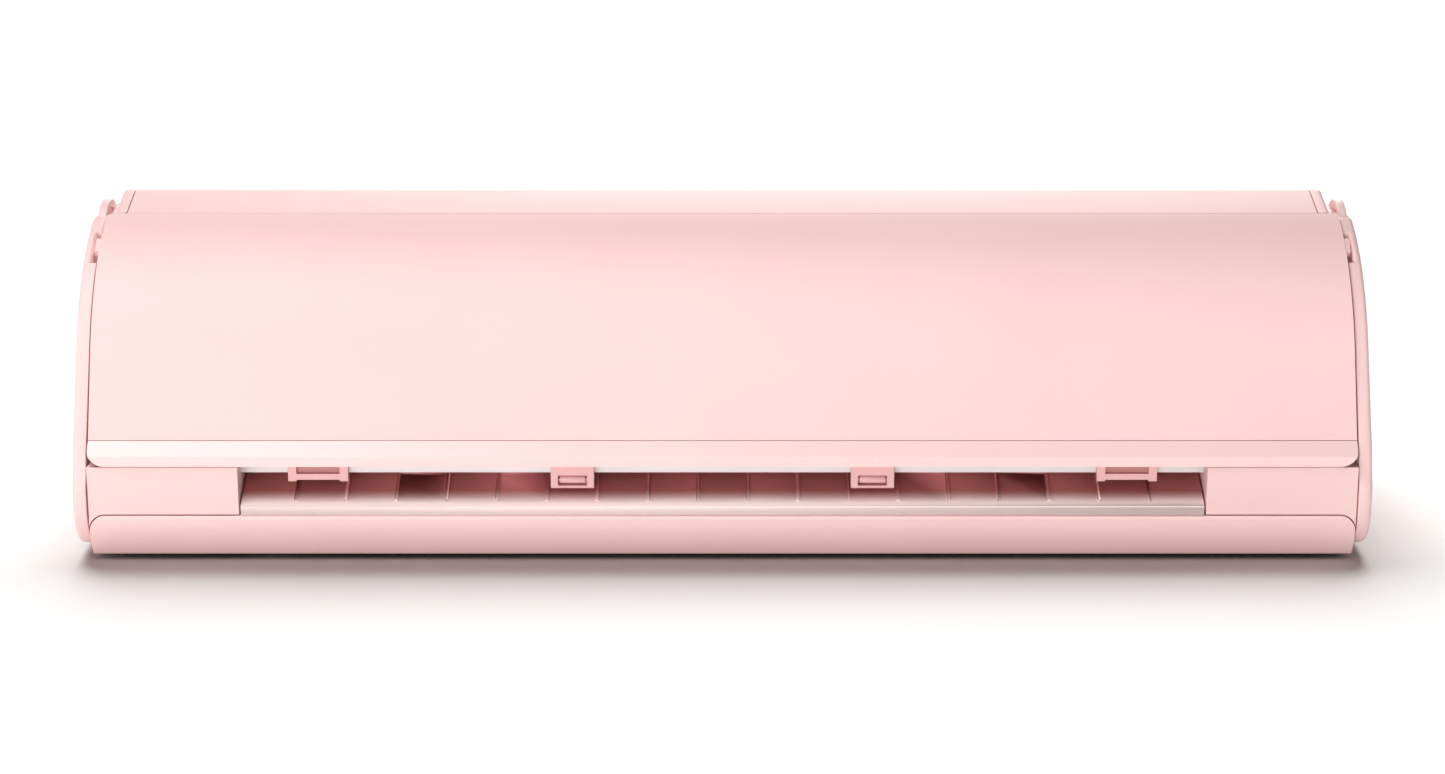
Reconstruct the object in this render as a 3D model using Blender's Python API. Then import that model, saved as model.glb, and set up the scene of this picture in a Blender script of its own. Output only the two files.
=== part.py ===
"""Desktop cutter for rolls and sheets of vinyl.

A grit roller feeds the sheet from the front slot, and a carriage draws a blade across it.
Sizes are in millimetres and become metres where a mesh is made. +Z is up, the front faces
-Y, and the origin is on the table under the middle of the machine.
"""
import math

import bmesh
import bpy
from mathutils import Vector

MM = 0.001
SIDES = (("left", -1), ("right", 1))

# Overall sizes
WIDTH = 656.0
DEPTH = 200.0
HEIGHT = 170.0
FOOT_HEIGHT = 3.0

# Walls and clearances
SKIN = 2.5
HOUSING_SKIN = 2.2
STEEL = 2.5
FIT = 0.3
RUNNING = 0.4
SIDE_COVER = 7.0
LID_PLAY = 1.0
FASCIA_PLAY = 0.7

# Lid and rear cover, in profile
LIP_LOW = 51.0
LIP_EDGE = 5.1
LIP_BACK = 7.5
LIP_RISE = 11.5
LIP_CORNER = 9.0
LID_LEAN = 22.0
LID_RADIUS = 104.0
LID_END_LEAN = 70.0
LID_DROP = 6.8
STRIP_GAP = 0.9
RIDGE_RUN = 28.2
RIDGE_RISE = 7.0
RIDGE_ROUND = 5.0
RIDGE_CROWN = 0.32
REAR_FALL = 25.0
REAR_ROUND = 20.0
KNOB_REACH = 4.0
CAP_WIDTH = 5.9
CAP_TO_COVER = 4.6
FLANGE_BACK = 60.0
PAN_LIP = 8.0
PIVOT_BACK = 20.8
PIVOT_DROP = 12.0
PIVOT_PIN = 3.0
EAR_BACK = -4.0
EAR_DROP = 11.5
EAR_RADIUS = 20.5
EAR_WALL = 4.5
SHOULDER_BACK = 12.0
TAIL_BACK = 30.0
DECK_INSET = 8.6
TAB_DROP = 22.0
TAB_LENGTH = 6.0
TAB_WIDTH = 2.5
NOTCH_PLAY = 3.0

# Front: fascias, media tray and drawer
FASCIA_WIDTH = 76.0
FASCIA_DEPTH = 12.0
DRAWER_TOP = 25.0
DRAWER_PLAY = 0.6
DRAWER_ROUND = 28.0
DRAWER_CORNER = 8.0
DRAWER_CROWN = 3.4
TRAY_TOP = 43.0
TRAY_SKIN = 2.2
TRAY_GAP = 1.2
TRAY_LIP = 25.3
TRAY_FACE = 30.2
TRAY_NOSE = (4.0, 31.8)
TRAY_BEND = 40.0
RIB_PITCH = 25.4
RIB_WIDTH = 1.8
RIB_HEIGHT = 1.0
DRAWER_TRAY_HALF = 255.0
DRAWER_TRAY_REACH = 140.0
ARM_LENGTH = 48.0
ARM_HALF = 3.0
WHEEL_RADIUS = 4.8
WHEEL_HALF = 1.5

# Mechanism; places along Y are counted back from the front face
FRAME_OUTSET = 17.7
ROLLER_BACK = 50.0
ROLLER_HEIGHT = 37.5
ROLLER_RADIUS = 6.5
SHAFT_RADIUS = 3.0
PINCH_RADIUS = 4.5
MEDIA = 0.3
GEAR_TEETH = 40
PINION_TEETH = 16
PINION_ANGLE = -25.0
GEAR_MODULE = 1.0
GEAR_WIDTH = 4.0
BEAM_BACK = 14.5
BEAM_LOW = 43.7
BEAM_HIGH = 56.0
BEAM_DEPTH = 19.5
BEAM_SKIRT = 4.3
BRACKET_INSET = 39.3
BRACKET_HALF = 15.25
POST = 4.3
WINDOW_DEPTH = 2.2
WINDOW_LOW = 44.2
WINDOW_HIGH = 51.0
BLOCK_PLACE = 76.0
BLOCK_HALF = 11.0
NOSE_RADIUS = 2.0
NOTCH_HALF = 7.3
PLATEN_GAP = 1.5
PLATEN_HEIGHT = 43.2
STRIP_BACK = 66.0
STRIP_DEPTH = 8.0
RAIL_BACK = 120.0
RAIL_DEPTH = 14.0
RAIL_LOW = 85.0
RAIL_HIGH = 105.0
PARK_INSET = 40.0
CARRIAGE_HALF = 35.0
CARRIAGE_BACK = 82.0
CARRIAGE_TOP = 112.0
TOOL_SPACING = 28.0
TOOL_BACK = 70.0
TOOL_RADIUS = 8.0
HOLDER_HALF = 12.0
HOLDER_LOW = 58.0
HOLDER_HIGH = 100.0
LOCK_LENGTH = 20.0
LOCK_HALF = 2.1
LUG = 3.0
LUG_LOW = 72.5
LUG_HIGH = 95.5
BELT_BACK = 138.0
BELT_WIDTH = 5.0
BELT_HEIGHT = 95.0
BELT_THICK = 1.2
PULLEY_RADIUS = 5.9
PULLEY_INSET = 22.0
MOTOR_LENGTH = 30.0
FEED_MOTOR_RADIUS = 17.0
BELT_MOTOR_RADIUS = 15.0
EXIT_LOW = 38.0
EXIT_HIGH = 50.0
BUTTON_RADIUS = 6.0
BOARD_TOP = 15.6
SOCKET_HALF = 5.6

# Places that several pieces share
HALF = WIDTH / 2
TAB_LOW = HEIGHT - TAB_DROP
TAB_HIGH = TAB_LOW + TAB_LENGTH
FRONT = -DEPTH / 2
BACK = DEPTH / 2
REAR_FACE = BACK - KNOB_REACH
TRAY_REACH = ROLLER_BACK - ROLLER_RADIUS - TRAY_GAP
PLATEN_BACK = ROLLER_BACK + ROLLER_RADIUS + PLATEN_GAP
COVER_IN = HALF - SIDE_COVER
LID_HALF = COVER_IN - LID_PLAY
FASCIA_OUT = COVER_IN - FASCIA_PLAY
FASCIA_IN = FASCIA_OUT - FASCIA_WIDTH
CAP_OUT = COVER_IN - CAP_TO_COVER
CAP_IN = CAP_OUT - CAP_WIDTH
REAR_HALF = CAP_IN - 0.5
FRAME_IN = FASCIA_IN + FRAME_OUTSET
FRAME_OUT = FRAME_IN + STEEL
HOUSING_IN = FRAME_OUT + 0.5
SEAT_HALF = FRAME_IN - RUNNING
PAN_TOP = FOOT_HEIGHT + SKIN
SHELL_LOW = PAN_TOP + FIT
CREASE = (FRONT + LIP_BACK, LIP_LOW + LIP_RISE)
LEAN = math.tan(math.radians(LID_LEAN))
ROLLER = (FRONT + ROLLER_BACK, ROLLER_HEIGHT)
MEDIA_HEIGHT = ROLLER_HEIGHT + ROLLER_RADIUS
PINCH = (ROLLER[0], MEDIA_HEIGHT + MEDIA + PINCH_RADIUS)
PARK = FRAME_IN - PARK_INSET
PULLEY_PLACE = FRAME_IN - PULLEY_INSET


# ---------------------------------------------------------------- outlines
def arc(centre, radius, start, end, steps):
    """Points on an arc, from one angle to another in degrees."""
    points = []
    for step in range(steps + 1):
        angle = math.radians(start + (end - start) * step / steps)
        points.append((centre[0] + radius * math.cos(angle), centre[1] + radius * math.sin(angle)))
    return points


def circle(centre, radius, sides=24):
    return arc(centre, radius, 0, 360 * (sides - 1) / sides, sides - 1)


def rounded(points, closed=True, steps=4):
    """A polygon or open path; a point's third number is the radius that rounds it."""
    path = []
    count = len(points)
    for index, point in enumerate(points):
        is_end = not closed and index in (0, count - 1)
        if len(point) == 2 or is_end:
            path.append(tuple(point[:2]))
            continue
        corner = Vector(point[:2])
        before = (Vector(points[index - 1][:2]) - corner).normalized()
        after = (Vector(points[(index + 1) % count][:2]) - corner).normalized()
        half = before.angle(after) / 2
        centre = corner + (before + after).normalized() * point[2] / math.sin(half)
        reach = point[2] / math.tan(half)
        first = corner + before * reach - centre
        last = corner + after * reach - centre
        start = math.degrees(math.atan2(first.y, first.x))
        sweep = (math.degrees(math.atan2(last.y, last.x)) - start + 180) % 360 - 180
        path += arc(centre, point[2], start, start + sweep, steps)
    return path


def inset(path, distance):
    """An open path moved to its right, with its corners kept sharp."""
    moved = []
    count = len(path)
    for index, point in enumerate(path):
        normals = []
        for start, end in ((index - 1, index), (index, index + 1)):
            if start < 0 or end >= count:
                continue
            along = (Vector(path[end]) - Vector(path[start])).normalized()
            normals.append(Vector((along.y, -along.x)))
        middle = sum(normals, Vector((0, 0))).normalized()
        moved.append(tuple(Vector(point) + middle * distance / middle.dot(normals[0])))
    return moved


def skin(points, thickness):
    """The closed outline of a wall whose outer face follows the points, with any radii."""
    inner = []
    for point, corner in zip(points, inset([point[:2] for point in points], thickness)):
        radius = point[2] - thickness if len(point) == 3 else 0
        inner.append((*corner, radius) if radius > 0 else corner)
    return rounded(points, closed=False) + rounded(inner, closed=False)[::-1]


# ---------------------------------------------------------------- solids
def add_object(name, mesh, finish, origin, turn):
    bmesh.ops.recalc_face_normals(mesh, faces=mesh.faces)
    data = bpy.data.meshes.new(name)
    mesh.to_mesh(data)
    mesh.free()
    data.shade_smooth()
    data.set_sharp_from_angle(angle=math.radians(30))
    piece = bpy.data.objects.new(name, data)
    piece.location = Vector(origin) * MM
    piece.rotation_euler = turn
    bpy.context.collection.objects.link(piece)
    if finish:
        data.materials.append(finish)
    else:
        piece.hide_render = True
        piece.display_type = "WIRE"
    return piece


def prism(name, axis, outline, low, high, finish=None, origin=(0, 0, 0), turn=(0, 0, 0)):
    """A flat outline across one axis, extruded from low to high along that axis."""
    along = "XYZ".index(axis)
    across = [index for index in range(3) if index != along]
    mesh = bmesh.new()
    corners = []
    for point in outline:
        place = Vector((0, 0, 0))
        place[along] = low
        place[across[0]] = point[0]
        place[across[1]] = point[1]
        corners.append(mesh.verts.new((place - Vector(origin)) * MM))
    face = mesh.faces.new(corners)
    grown = bmesh.ops.extrude_face_region(mesh, geom=[face], use_keep_orig=True)
    step = Vector((0, 0, 0))
    step[along] = (high - low) * MM
    moved = [item for item in grown["geom"] if isinstance(item, bmesh.types.BMVert)]
    bmesh.ops.translate(mesh, verts=moved, vec=step)
    return add_object(name, mesh, finish, origin, turn)


def block(name, low, high, finish=None, origin=(0, 0, 0), turn=(0, 0, 0)):
    outline = [(low[0], low[1]), (high[0], low[1]), (high[0], high[1]), (low[0], high[1])]
    return prism(name, "Z", outline, low[2], high[2], finish, origin, turn)


def mirrored(sign, near, far):
    """Two places counted out from the middle, in rising order on either side."""
    return sorted((sign * near, sign * far))


def turned(name, axis, centre, profile, finish=None, sides=24, origin=None, turn=(0, 0, 0)):
    """A lathe shape: (place, radius) points along one axis; the centre gives the other two."""
    along = "XYZ".index(axis)
    across = [index for index in range(3) if index != along]
    start = Vector((0, 0, 0))
    start[across[0]] = centre[0]
    start[across[1]] = centre[1]
    origin = Vector(origin if origin else start)
    mesh = bmesh.new()
    rings = []
    for place, radius in profile:
        ring = []
        for u, v in circle(centre, radius, sides):
            point = Vector((0, 0, 0))
            point[along] = place
            point[across[0]] = u
            point[across[1]] = v
            ring.append(mesh.verts.new((point - origin) * MM))
        rings.append(ring)
    for lower, upper in zip(rings, rings[1:]):
        for index in range(sides):
            after = (index + 1) % sides
            mesh.faces.new((lower[index], lower[after], upper[after], upper[index]))
    mesh.faces.new(rings[0])
    mesh.faces.new(rings[-1])
    return add_object(name, mesh, finish, origin, turn)


def combine(piece, tool, operation, solver="EXACT"):
    modifier = piece.modifiers.new(tool.name, "BOOLEAN")
    modifier.operation = operation
    modifier.solver = solver
    modifier.object = tool


def cut(piece, *tools):
    for tool in tools:
        combine(piece, tool, "DIFFERENCE")


def fuse(piece, *tools):
    for tool in tools:
        combine(piece, tool, "UNION")


# ---------------------------------------------------------------- finishes
def linear(value):
    return value / 12.92 if value <= 0.04045 else ((value + 0.055) / 1.055) ** 2.4


def make_finish(name, hex_colour, roughness, metallic=0.0):
    finish = bpy.data.materials.new(name)
    finish.use_nodes = True
    shader = finish.node_tree.nodes["Principled BSDF"]
    channels = [int(hex_colour[place:place + 2], 16) / 255 for place in (0, 2, 4)]
    shader.inputs["Base Color"].default_value = (*[linear(value) for value in channels], 1)
    shader.inputs["Roughness"].default_value = roughness
    shader.inputs["Metallic"].default_value = metallic
    return finish


# ---------------------------------------------------------------- lid and covers in profile
def lid_arc_centre():
    tangent_height = HEIGHT - LID_DROP - LID_RADIUS * math.sin(math.radians(LID_END_LEAN))
    lean = math.radians(LID_LEAN)
    touch = tangent_height + LID_RADIUS * math.sin(lean)
    place = CREASE[0] + (touch - CREASE[1]) * LEAN + LID_RADIUS * math.cos(lean)
    return place, tangent_height


LID_CENTRE = lid_arc_centre()


def lid_path(depth=0.0, start=CREASE, end_lean=LID_END_LEAN, steps=16):
    """The lid's outer face from the crease to the rear edge, or a path inside it."""
    curve = arc(LID_CENTRE, LID_RADIUS, 180 - LID_LEAN, 180 - end_lean, steps)
    path = [start] + curve
    return inset(path, depth) if depth else path


LID_REAR = lid_path()[-1]
STRIP_FRONT = LID_REAR[0] + STRIP_GAP
RIDGE = (STRIP_FRONT + RIDGE_RUN, HEIGHT)
PIVOT = (STRIP_FRONT + PIVOT_BACK, HEIGHT - PIVOT_DROP)
EAR = (PIVOT[0] + EAR_BACK, PIVOT[1] - EAR_DROP)


def rear_points():
    """Outer face of the rear cover, from its front wall over the ridge to the bottom."""
    fall = math.radians(REAR_FALL)
    round_centre = REAR_FACE - REAR_ROUND
    touch = (round_centre + REAR_ROUND * math.sin(fall), 0)
    drop = (touch[0] - RIDGE[0]) * math.tan(fall)
    centre = (round_centre, RIDGE[1] - drop - REAR_ROUND * math.cos(fall))
    strip = [(STRIP_FRONT, HEIGHT - 20), (STRIP_FRONT, HEIGHT - RIDGE_RISE, 1.0)]
    strip += [(RIDGE[0], RIDGE[1] + RIDGE_CROWN, RIDGE_ROUND), (touch[0], RIDGE[1] - drop)]
    return strip[:-1] + arc(centre, REAR_ROUND, 90 - REAR_FALL, 0, 6) + [(REAR_FACE, SHELL_LOW)]


def rear_path():
    return rounded(rear_points(), closed=False)


# ---------------------------------------------------------------- base and frame
def build_base_pan(steel):
    near = FRONT + 14
    far = REAR_FACE - FIT
    edge = LID_HALF - 0.4
    pan = block("base_pan", (-edge, near, FOOT_HEIGHT), (edge, far, PAN_TOP), steel)
    for side, sign in SIDES:
        low, high = mirrored(sign, edge - SKIN, edge)
        lip_low = FOOT_HEIGHT + 0.5
        fuse(pan, block("pan_lip_" + side, (low, near, lip_low), (high, far, PAN_TOP + PAN_LIP)))


def build_feet(rubber):
    for end, place in (("front", FRONT + 30), ("rear", BACK - 25)):
        for side, sign in SIDES:
            profile = [(0, 8.2), (0.8, 9.0), (FOOT_HEIGHT - FIT, 9.0)]
            centre = (sign * (LID_HALF - 40), place)
            turned("foot_%s_%s" % (end, side), "Z", centre, profile, rubber)


def build_side_frames(steel):
    deck = HEIGHT - 58
    rear = REAR_FACE - 6
    front = FRONT + 13.5
    outline = [(front, 28), (front, 57), (FRONT + 40, 57), (FRONT + 78, deck), (rear, deck)]
    outline += [(rear, SHELL_LOW), (FRONT + 30, SHELL_LOW)]
    for side, sign in SIDES:
        low, high = mirrored(sign, FRAME_IN, FRAME_OUT)
        frame = prism("side_frame_" + side, "X", outline, low, high, steel)
        bore = circle(ROLLER, SHAFT_RADIUS + RUNNING)
        cut(frame, prism("shaft_bore_" + side, "X", bore, low - 1, high + 1))


def build_media_tray(plastic):
    """Ribbed slope that leads the sheet in, open underneath."""
    half = FASCIA_IN - 1.0
    face = FRONT + 0.6
    rear = FRONT + TRAY_REACH
    nose = (FRONT + TRAY_NOSE[0], TRAY_NOSE[1])
    crest = (FRONT + 30.7, TRAY_TOP, TRAY_BEND)
    ramp = [(face, TRAY_LIP), (face, TRAY_FACE, 0.9), nose, crest]
    ramp += [(rear, TRAY_TOP, 1.5), (rear, 30.0)]
    tray = prism("media_tray", "X", skin(ramp, TRAY_SKIN), -half, half, plastic)
    top = rounded([nose, crest, (rear - 1.6, TRAY_TOP)], closed=False)
    rib = inset(top, -RIB_HEIGHT) + inset(top, RIB_HEIGHT)[::-1]
    count = int((2 * half - 20) / RIB_PITCH)
    for index in range(count):
        middle = (index - (count - 1) / 2) * RIB_PITCH
        low = middle - RIB_WIDTH / 2
        fuse(tray, prism("rib_%02d" % index, "X", rib, low, low + RIB_WIDTH))


def build_platen(plastic, strip_plastic):
    low = FRONT + PLATEN_BACK
    rear = REAR_FACE - 4
    path = [(low, 33), (low, PLATEN_HEIGHT, 2.0), (rear, PLATEN_HEIGHT), (rear, 39)]
    platen = prism("platen", "X", skin(path, SKIN), -SEAT_HALF, SEAT_HALF, plastic)
    near = FRONT + STRIP_BACK
    far = near + STRIP_DEPTH
    floor = PLATEN_HEIGHT - 1.0
    groove = block("strip_groove", (-HALF, near - FIT, floor - FIT), (HALF, far + FIT, PLATEN_HEIGHT + 2))
    cut(platen, groove)
    edge = SEAT_HALF - 1
    block("cutting_strip", (-edge, near, floor), (edge, far, PLATEN_HEIGHT + FIT), strip_plastic)


def build_roller_beam(plastic):
    near = FRONT + BEAM_BACK
    far = near + BEAM_DEPTH
    floor = BEAM_LOW + BEAM_SKIRT
    outline = [(near, BEAM_LOW), (near + SKIN, BEAM_LOW), (near + SKIN, floor)]
    outline += [(far, floor), (far, BEAM_HIGH), (near, BEAM_HIGH)]
    prism("roller_beam", "X", outline, -SEAT_HALF, SEAT_HALF, plastic)


def build_carriage_rail(metal):
    near = FRONT + RAIL_BACK
    far = near + RAIL_DEPTH
    lip = 5.0
    groove = 3.0
    outline = [(near, RAIL_LOW), (far, RAIL_LOW), (far, RAIL_LOW + lip), (far - groove, RAIL_LOW + lip + 2)]
    outline += [(far - groove, RAIL_HIGH - lip - 2), (far, RAIL_HIGH - lip), (far, RAIL_HIGH)]
    outline += [(near, RAIL_HIGH), (near, RAIL_HIGH - lip), (near + groove, RAIL_HIGH - lip - 2)]
    outline += [(near + groove, RAIL_LOW + lip + 2), (near, RAIL_LOW + lip)]
    prism("carriage_rail", "X", outline, -SEAT_HALF, SEAT_HALF, metal)


# ---------------------------------------------------------------- covers
def side_cover_outline():
    """Runs up the front, back along the top and down the rear; the lid lies on its slope."""
    bottom = PAN_TOP
    slope = inset(lid_path(), SKIN + 0.05)
    front = [(FRONT, bottom, 22.0), (FRONT, 40.0, 8.0), (FRONT + 2.6, LIP_LOW - 5.3, 6.0)]
    front += [(FRONT + 5.7, LIP_LOW + 6.3)]
    shoulder = (EAR[0] + SHOULDER_BACK, slope[-1][1] - 0.5)
    rear = inset(rear_path(), SKIN)
    tail = [point for point in rear if point[0] > EAR[0] + TAIL_BACK][:-1]
    heel = [(rear[-1][0], bottom, 6.0)]
    low = rounded([(FRONT + 40, bottom)] + front, closed=False, steps=6)
    foot = rounded([tail[-1]] + heel + [(FRONT + 60, bottom)], closed=False)
    return low + slope[1:] + [shoulder] + tail + foot[1:]


def build_side_covers(plastic):
    for side, sign in SIDES:
        low, high = mirrored(sign, COVER_IN, HALF)
        cover = prism("side_cover_" + side, "X", side_cover_outline(), low, high, plastic)
        low, high = mirrored(sign, COVER_IN + FIT, COVER_IN + FIT + EAR_WALL)
        fuse(cover, prism("ear_" + side, "X", circle(EAR, EAR_RADIUS, 40), low, high))
        low, high = mirrored(sign, COVER_IN - 1, COVER_IN + 3)
        notch = inset(lid_path(start=CREASE), -1.0)
        deep = inset(lid_path(start=CREASE), SKIN + 5.5)
        floor = TAB_LOW - NOTCH_PLAY
        keep = [place for place, point in enumerate(lid_path()) if floor < point[1] < HEIGHT - 12]
        outline = [notch[place] for place in keep] + [deep[place] for place in keep][::-1]
        cut(cover, prism("tab_notch_" + side, "X", outline, low, high))
        bore = circle(PIVOT, PIVOT_PIN + RUNNING)
        cut(cover, prism("pivot_bore_" + side, "X", bore, low, high + 0.4 * (sign > 0)))
        low, high = mirrored(sign, COVER_IN - 1, COVER_IN + SIDE_COVER - SKIN)
        pocket = [(FRONT + 12, 24, 12.0), (FRONT + 12, 42), (FRONT + 34, 96), (FRONT + 62, HEIGHT - 40)]
        pocket += [(REAR_FACE - 30, HEIGHT - 50), (REAR_FACE - 12, HEIGHT - 66), (REAR_FACE - 12, 14)]
        pocket += [(FRONT + 24, 14, 8.0)]
        cut(cover, prism("cover_pocket_" + side, "X", rounded(pocket), low, high))


def build_rear_cover(plastic):
    cover = prism("rear_cover", "X", skin(rear_points(), SKIN), -REAR_HALF, REAR_HALF, plastic)
    slots = {
        "media_exit": ((4 - FASCIA_IN, EXIT_LOW), (FASCIA_IN - 4, EXIT_HIGH)),
        "cutter_slot": ((8 - FASCIA_IN, EXIT_HIGH + 4), (FASCIA_IN - 8, EXIT_HIGH + 9)),
        "inlet_hole": ((REAR_HALF - 20, 15.9), (REAR_HALF - 8, 28.3)),
        "usb_hole": ((REAR_HALF - 44, 15.9), (REAR_HALF - 32, 22.3)),
    }
    for name, (low, high) in slots.items():
        near = REAR_FACE - SKIN - 2
        cut(cover, block(name, (low[0], near, low[1]), (high[0], BACK + 2, high[1])))


def build_rear_caps(plastic):
    """End walls of the rear cover; a flange below the hinge reaches out to the side cover."""
    path = rear_path()
    outline = path + [(STRIP_FRONT, SHELL_LOW)]
    start = EAR[0] + FLANGE_BACK
    slope = RIDGE[1] - (start - RIDGE[0]) * math.tan(math.radians(REAR_FALL))
    flange = [(start, slope)] + [point for point in path[:-1] if point[0] > start]
    flange += [(REAR_FACE, SHELL_LOW + PAN_LIP), (start, SHELL_LOW + PAN_LIP)]
    for side, sign in SIDES:
        low, high = mirrored(sign, CAP_IN, CAP_OUT)
        cap = prism("rear_cap_" + side, "X", outline, low, high, plastic)
        low, high = mirrored(sign, CAP_OUT - 1, COVER_IN - RUNNING)
        fuse(cap, prism("cap_flange_" + side, "X", flange, low, high))


def build_fascias(plastic):
    top = LIP_LOW - 0.6
    near = FRONT + 1.0
    far = near + FASCIA_DEPTH
    for side, sign in SIDES:
        outer = sign * FASCIA_OUT
        inner = sign * FASCIA_IN
        hollow = DRAWER_CORNER + DRAWER_PLAY
        centre = (sign * (LID_HALF - DRAWER_CORNER), DRAWER_TOP - DRAWER_CORNER)
        sweep = math.degrees(math.asin((FASCIA_OUT - LID_HALF + DRAWER_CORNER) / hollow))
        spandrel = arc(centre, hollow, 90, 90 - sign * sweep, 6)
        outline = [(inner, spandrel[0][1])] + spandrel + [(outer, top), (inner, top)]
        fascia = prism("fascia_" + side, "Y", outline, near, far, plastic)
        low, high = mirrored(sign, FASCIA_IN + SKIN, FASCIA_OUT - SKIN)
        floor = DRAWER_TOP + DRAWER_PLAY + SKIN
        room = block("fascia_room_" + side, (low, near + SKIN, floor), (high, far + 1, top - SKIN))
        cut(fascia, room)
        low, high = mirrored(sign, FASCIA_IN, FASCIA_IN + SKIN)
        jamb_top = BEAM_LOW - FIT
        jamb = block("fascia_jamb_" + side, (low, far - 1, floor), (high, FRONT + TRAY_REACH, jamb_top))
        fuse(fascia, jamb)


def deck_line():
    """Lower and upper ends of the flat deck beside the carriage bay, under the lid."""
    low_height = HEIGHT - 70
    start = (CREASE[0] + DECK_INSET + (low_height - CREASE[1]) * LEAN, low_height)
    end = (STRIP_FRONT - 0.8, HEIGHT - 24.5)
    return start, end


def deck_place(along, sign):
    """Place and tilt of a piece on the deck, a distance up from the deck's lower edge."""
    start, end = deck_line()
    slope = (Vector(end) - Vector(start)).normalized()
    point = Vector(start) + slope * along
    middle = sign * (HOUSING_IN + CAP_OUT) / 2
    return (middle, point.x, point.y), (math.atan2(slope.y, slope.x), 0, 0)


def build_end_housings(plastic):
    start, end = deck_line()
    near = FRONT + 14.2
    low_edge = LIP_LOW + 1.2
    knee = CREASE[1] + (near - CREASE[0] - DECK_INSET) / LEAN
    path = [(near, low_edge), (near, max(knee, low_edge + 3)), start, end, (end[0], low_edge)]
    for side, sign in SIDES:
        low, high = mirrored(sign, HOUSING_IN, CAP_OUT)
        housing = prism("end_housing_" + side, "X", path, low, high, plastic)
        inner = inset(path, HOUSING_SKIN)
        inner = [(inner[0][0], low_edge - 1)] + inner[1:-1] + [(inner[-1][0], low_edge - 1)]
        low, high = mirrored(sign, HOUSING_IN + HOUSING_SKIN, CAP_OUT + 1)
        cut(housing, prism("housing_room_" + side, "X", inner, low, high))
        if sign > 0:
            place, tilt = deck_place(11, sign)
            hole = turned("button_hole", "Z", (0, 0), [(-6, BUTTON_RADIUS + 0.5), (6, BUTTON_RADIUS + 0.5)])
            hole.location = Vector(place) * MM
            hole.rotation_euler = tilt
            cut(housing, hole)


def build_controls(glass, plastic):
    place, tilt = deck_place(42, 1)
    panel = block("touch_panel", (-20, -22, FIT), (20, 22, 2.1), glass)
    panel.location = Vector(place) * MM
    panel.rotation_euler = tilt
    place, tilt = deck_place(11, 1)
    profile = [(-4.0, BUTTON_RADIUS), (1.1, BUTTON_RADIUS), (1.6, BUTTON_RADIUS - 0.6)]
    button = turned("power_button", "Z", (0, 0), profile, plastic)
    button.location = Vector(place) * MM
    button.rotation_euler = tilt


# ---------------------------------------------------------------- lid
def build_lid(plastic, lip_plastic):
    """The lid turns on pins in the ears, so its pieces have their origin on that axis."""
    origin = (0, PIVOT[0], PIVOT[1])
    outer = lid_path()
    along = (Vector(outer[1]) - Vector(outer[0])).normalized()
    start = tuple(Vector(CREASE) + along * FIT)
    under = [point for point in lid_path(SKIN, start) if point[0] < LID_REAR[0] - 1]
    reach = LID_REAR[0] - LID_CENTRE[0]
    rear_under = LID_CENTRE[1] + math.sqrt((LID_RADIUS - SKIN) ** 2 - reach ** 2)
    outline = [start] + outer[1:] + [(LID_REAR[0], rear_under)] + under[::-1]
    shell = prism("lid_shell", "X", outline, -LID_HALF, LID_HALF, plastic, origin)
    band = inset(outer, 0.8)
    under = inset(outer, SKIN + 2.0)
    keep = [place for place, point in enumerate(outer) if TAB_LOW + 1 < point[1] < TAB_HIGH + 1]
    tab = [band[keep[0]], band[keep[-1]], under[keep[-1]], under[keep[0]]]
    for side, sign in SIDES:
        low, high = mirrored(sign, LID_HALF - 0.8, LID_HALF + TAB_WIDTH)
        combine(shell, prism("lid_tab_" + side, "X", tab, low, high), "UNION", "MANIFOLD")
    lip = [(FRONT, LIP_LOW), (FRONT, LIP_LOW + LIP_EDGE), CREASE]
    lip[1] += (1.2,)
    edge = prism("lid_lip", "X", skin(lip, SKIN), -LID_HALF, LID_HALF, lip_plastic, origin)
    for side, sign in SIDES:
        corner = (sign * (LID_HALF - LIP_CORNER), LIP_LOW + LIP_CORNER)
        sweep = arc(corner, LIP_CORNER, 270, 270 + sign * 90, 6)
        beyond = sign * (LID_HALF + 1)
        outline = sweep + [(beyond, LIP_LOW + LIP_CORNER), (beyond, LIP_LOW - 1)]
        outline += [(sweep[0][0], LIP_LOW - 1)]
        cut(edge, prism("lip_corner_" + side, "Y", outline, FRONT - 1, FRONT + 20))


def build_lid_arms(plastic):
    """Arms under the lid's ends; each carries the pin that turns in an ear."""
    origin = (0, PIVOT[0], PIVOT[1])
    under = inset(lid_path(), SKIN + FIT)
    back = [point for point in under if point[1] > HEIGHT - 34]
    boss = arc(PIVOT, 6.0, 90, -90, 8)
    web = [(back[-1][0] - 2, back[-1][1] - 11), (back[0][0] + 6, back[0][1] - 5)]
    outline = back + boss + web
    for side, sign in SIDES:
        low, high = mirrored(sign, CAP_OUT + 0.5, LID_HALF - 1.1)
        arm = prism("lid_arm_" + side, "X", outline, low, high, plastic, origin)
        low, high = mirrored(sign, LID_HALF - 1.8, COVER_IN + 2.6)
        fuse(arm, prism("lid_pin_" + side, "X", circle(PIVOT, PIVOT_PIN), low, high))


# ---------------------------------------------------------------- drawer with roll supports
def drawer_points():
    low = FOOT_HEIGHT
    centre = (FRONT + DRAWER_ROUND, DRAWER_TOP - DRAWER_CROWN)
    end = 180 + math.degrees(math.asin((centre[1] - low) / DRAWER_ROUND))
    curve = arc(centre, DRAWER_ROUND, end, 180, 8)
    return curve + [(FRONT, DRAWER_TOP, 1.8), (FRONT + 5, DRAWER_TOP)]


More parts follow.
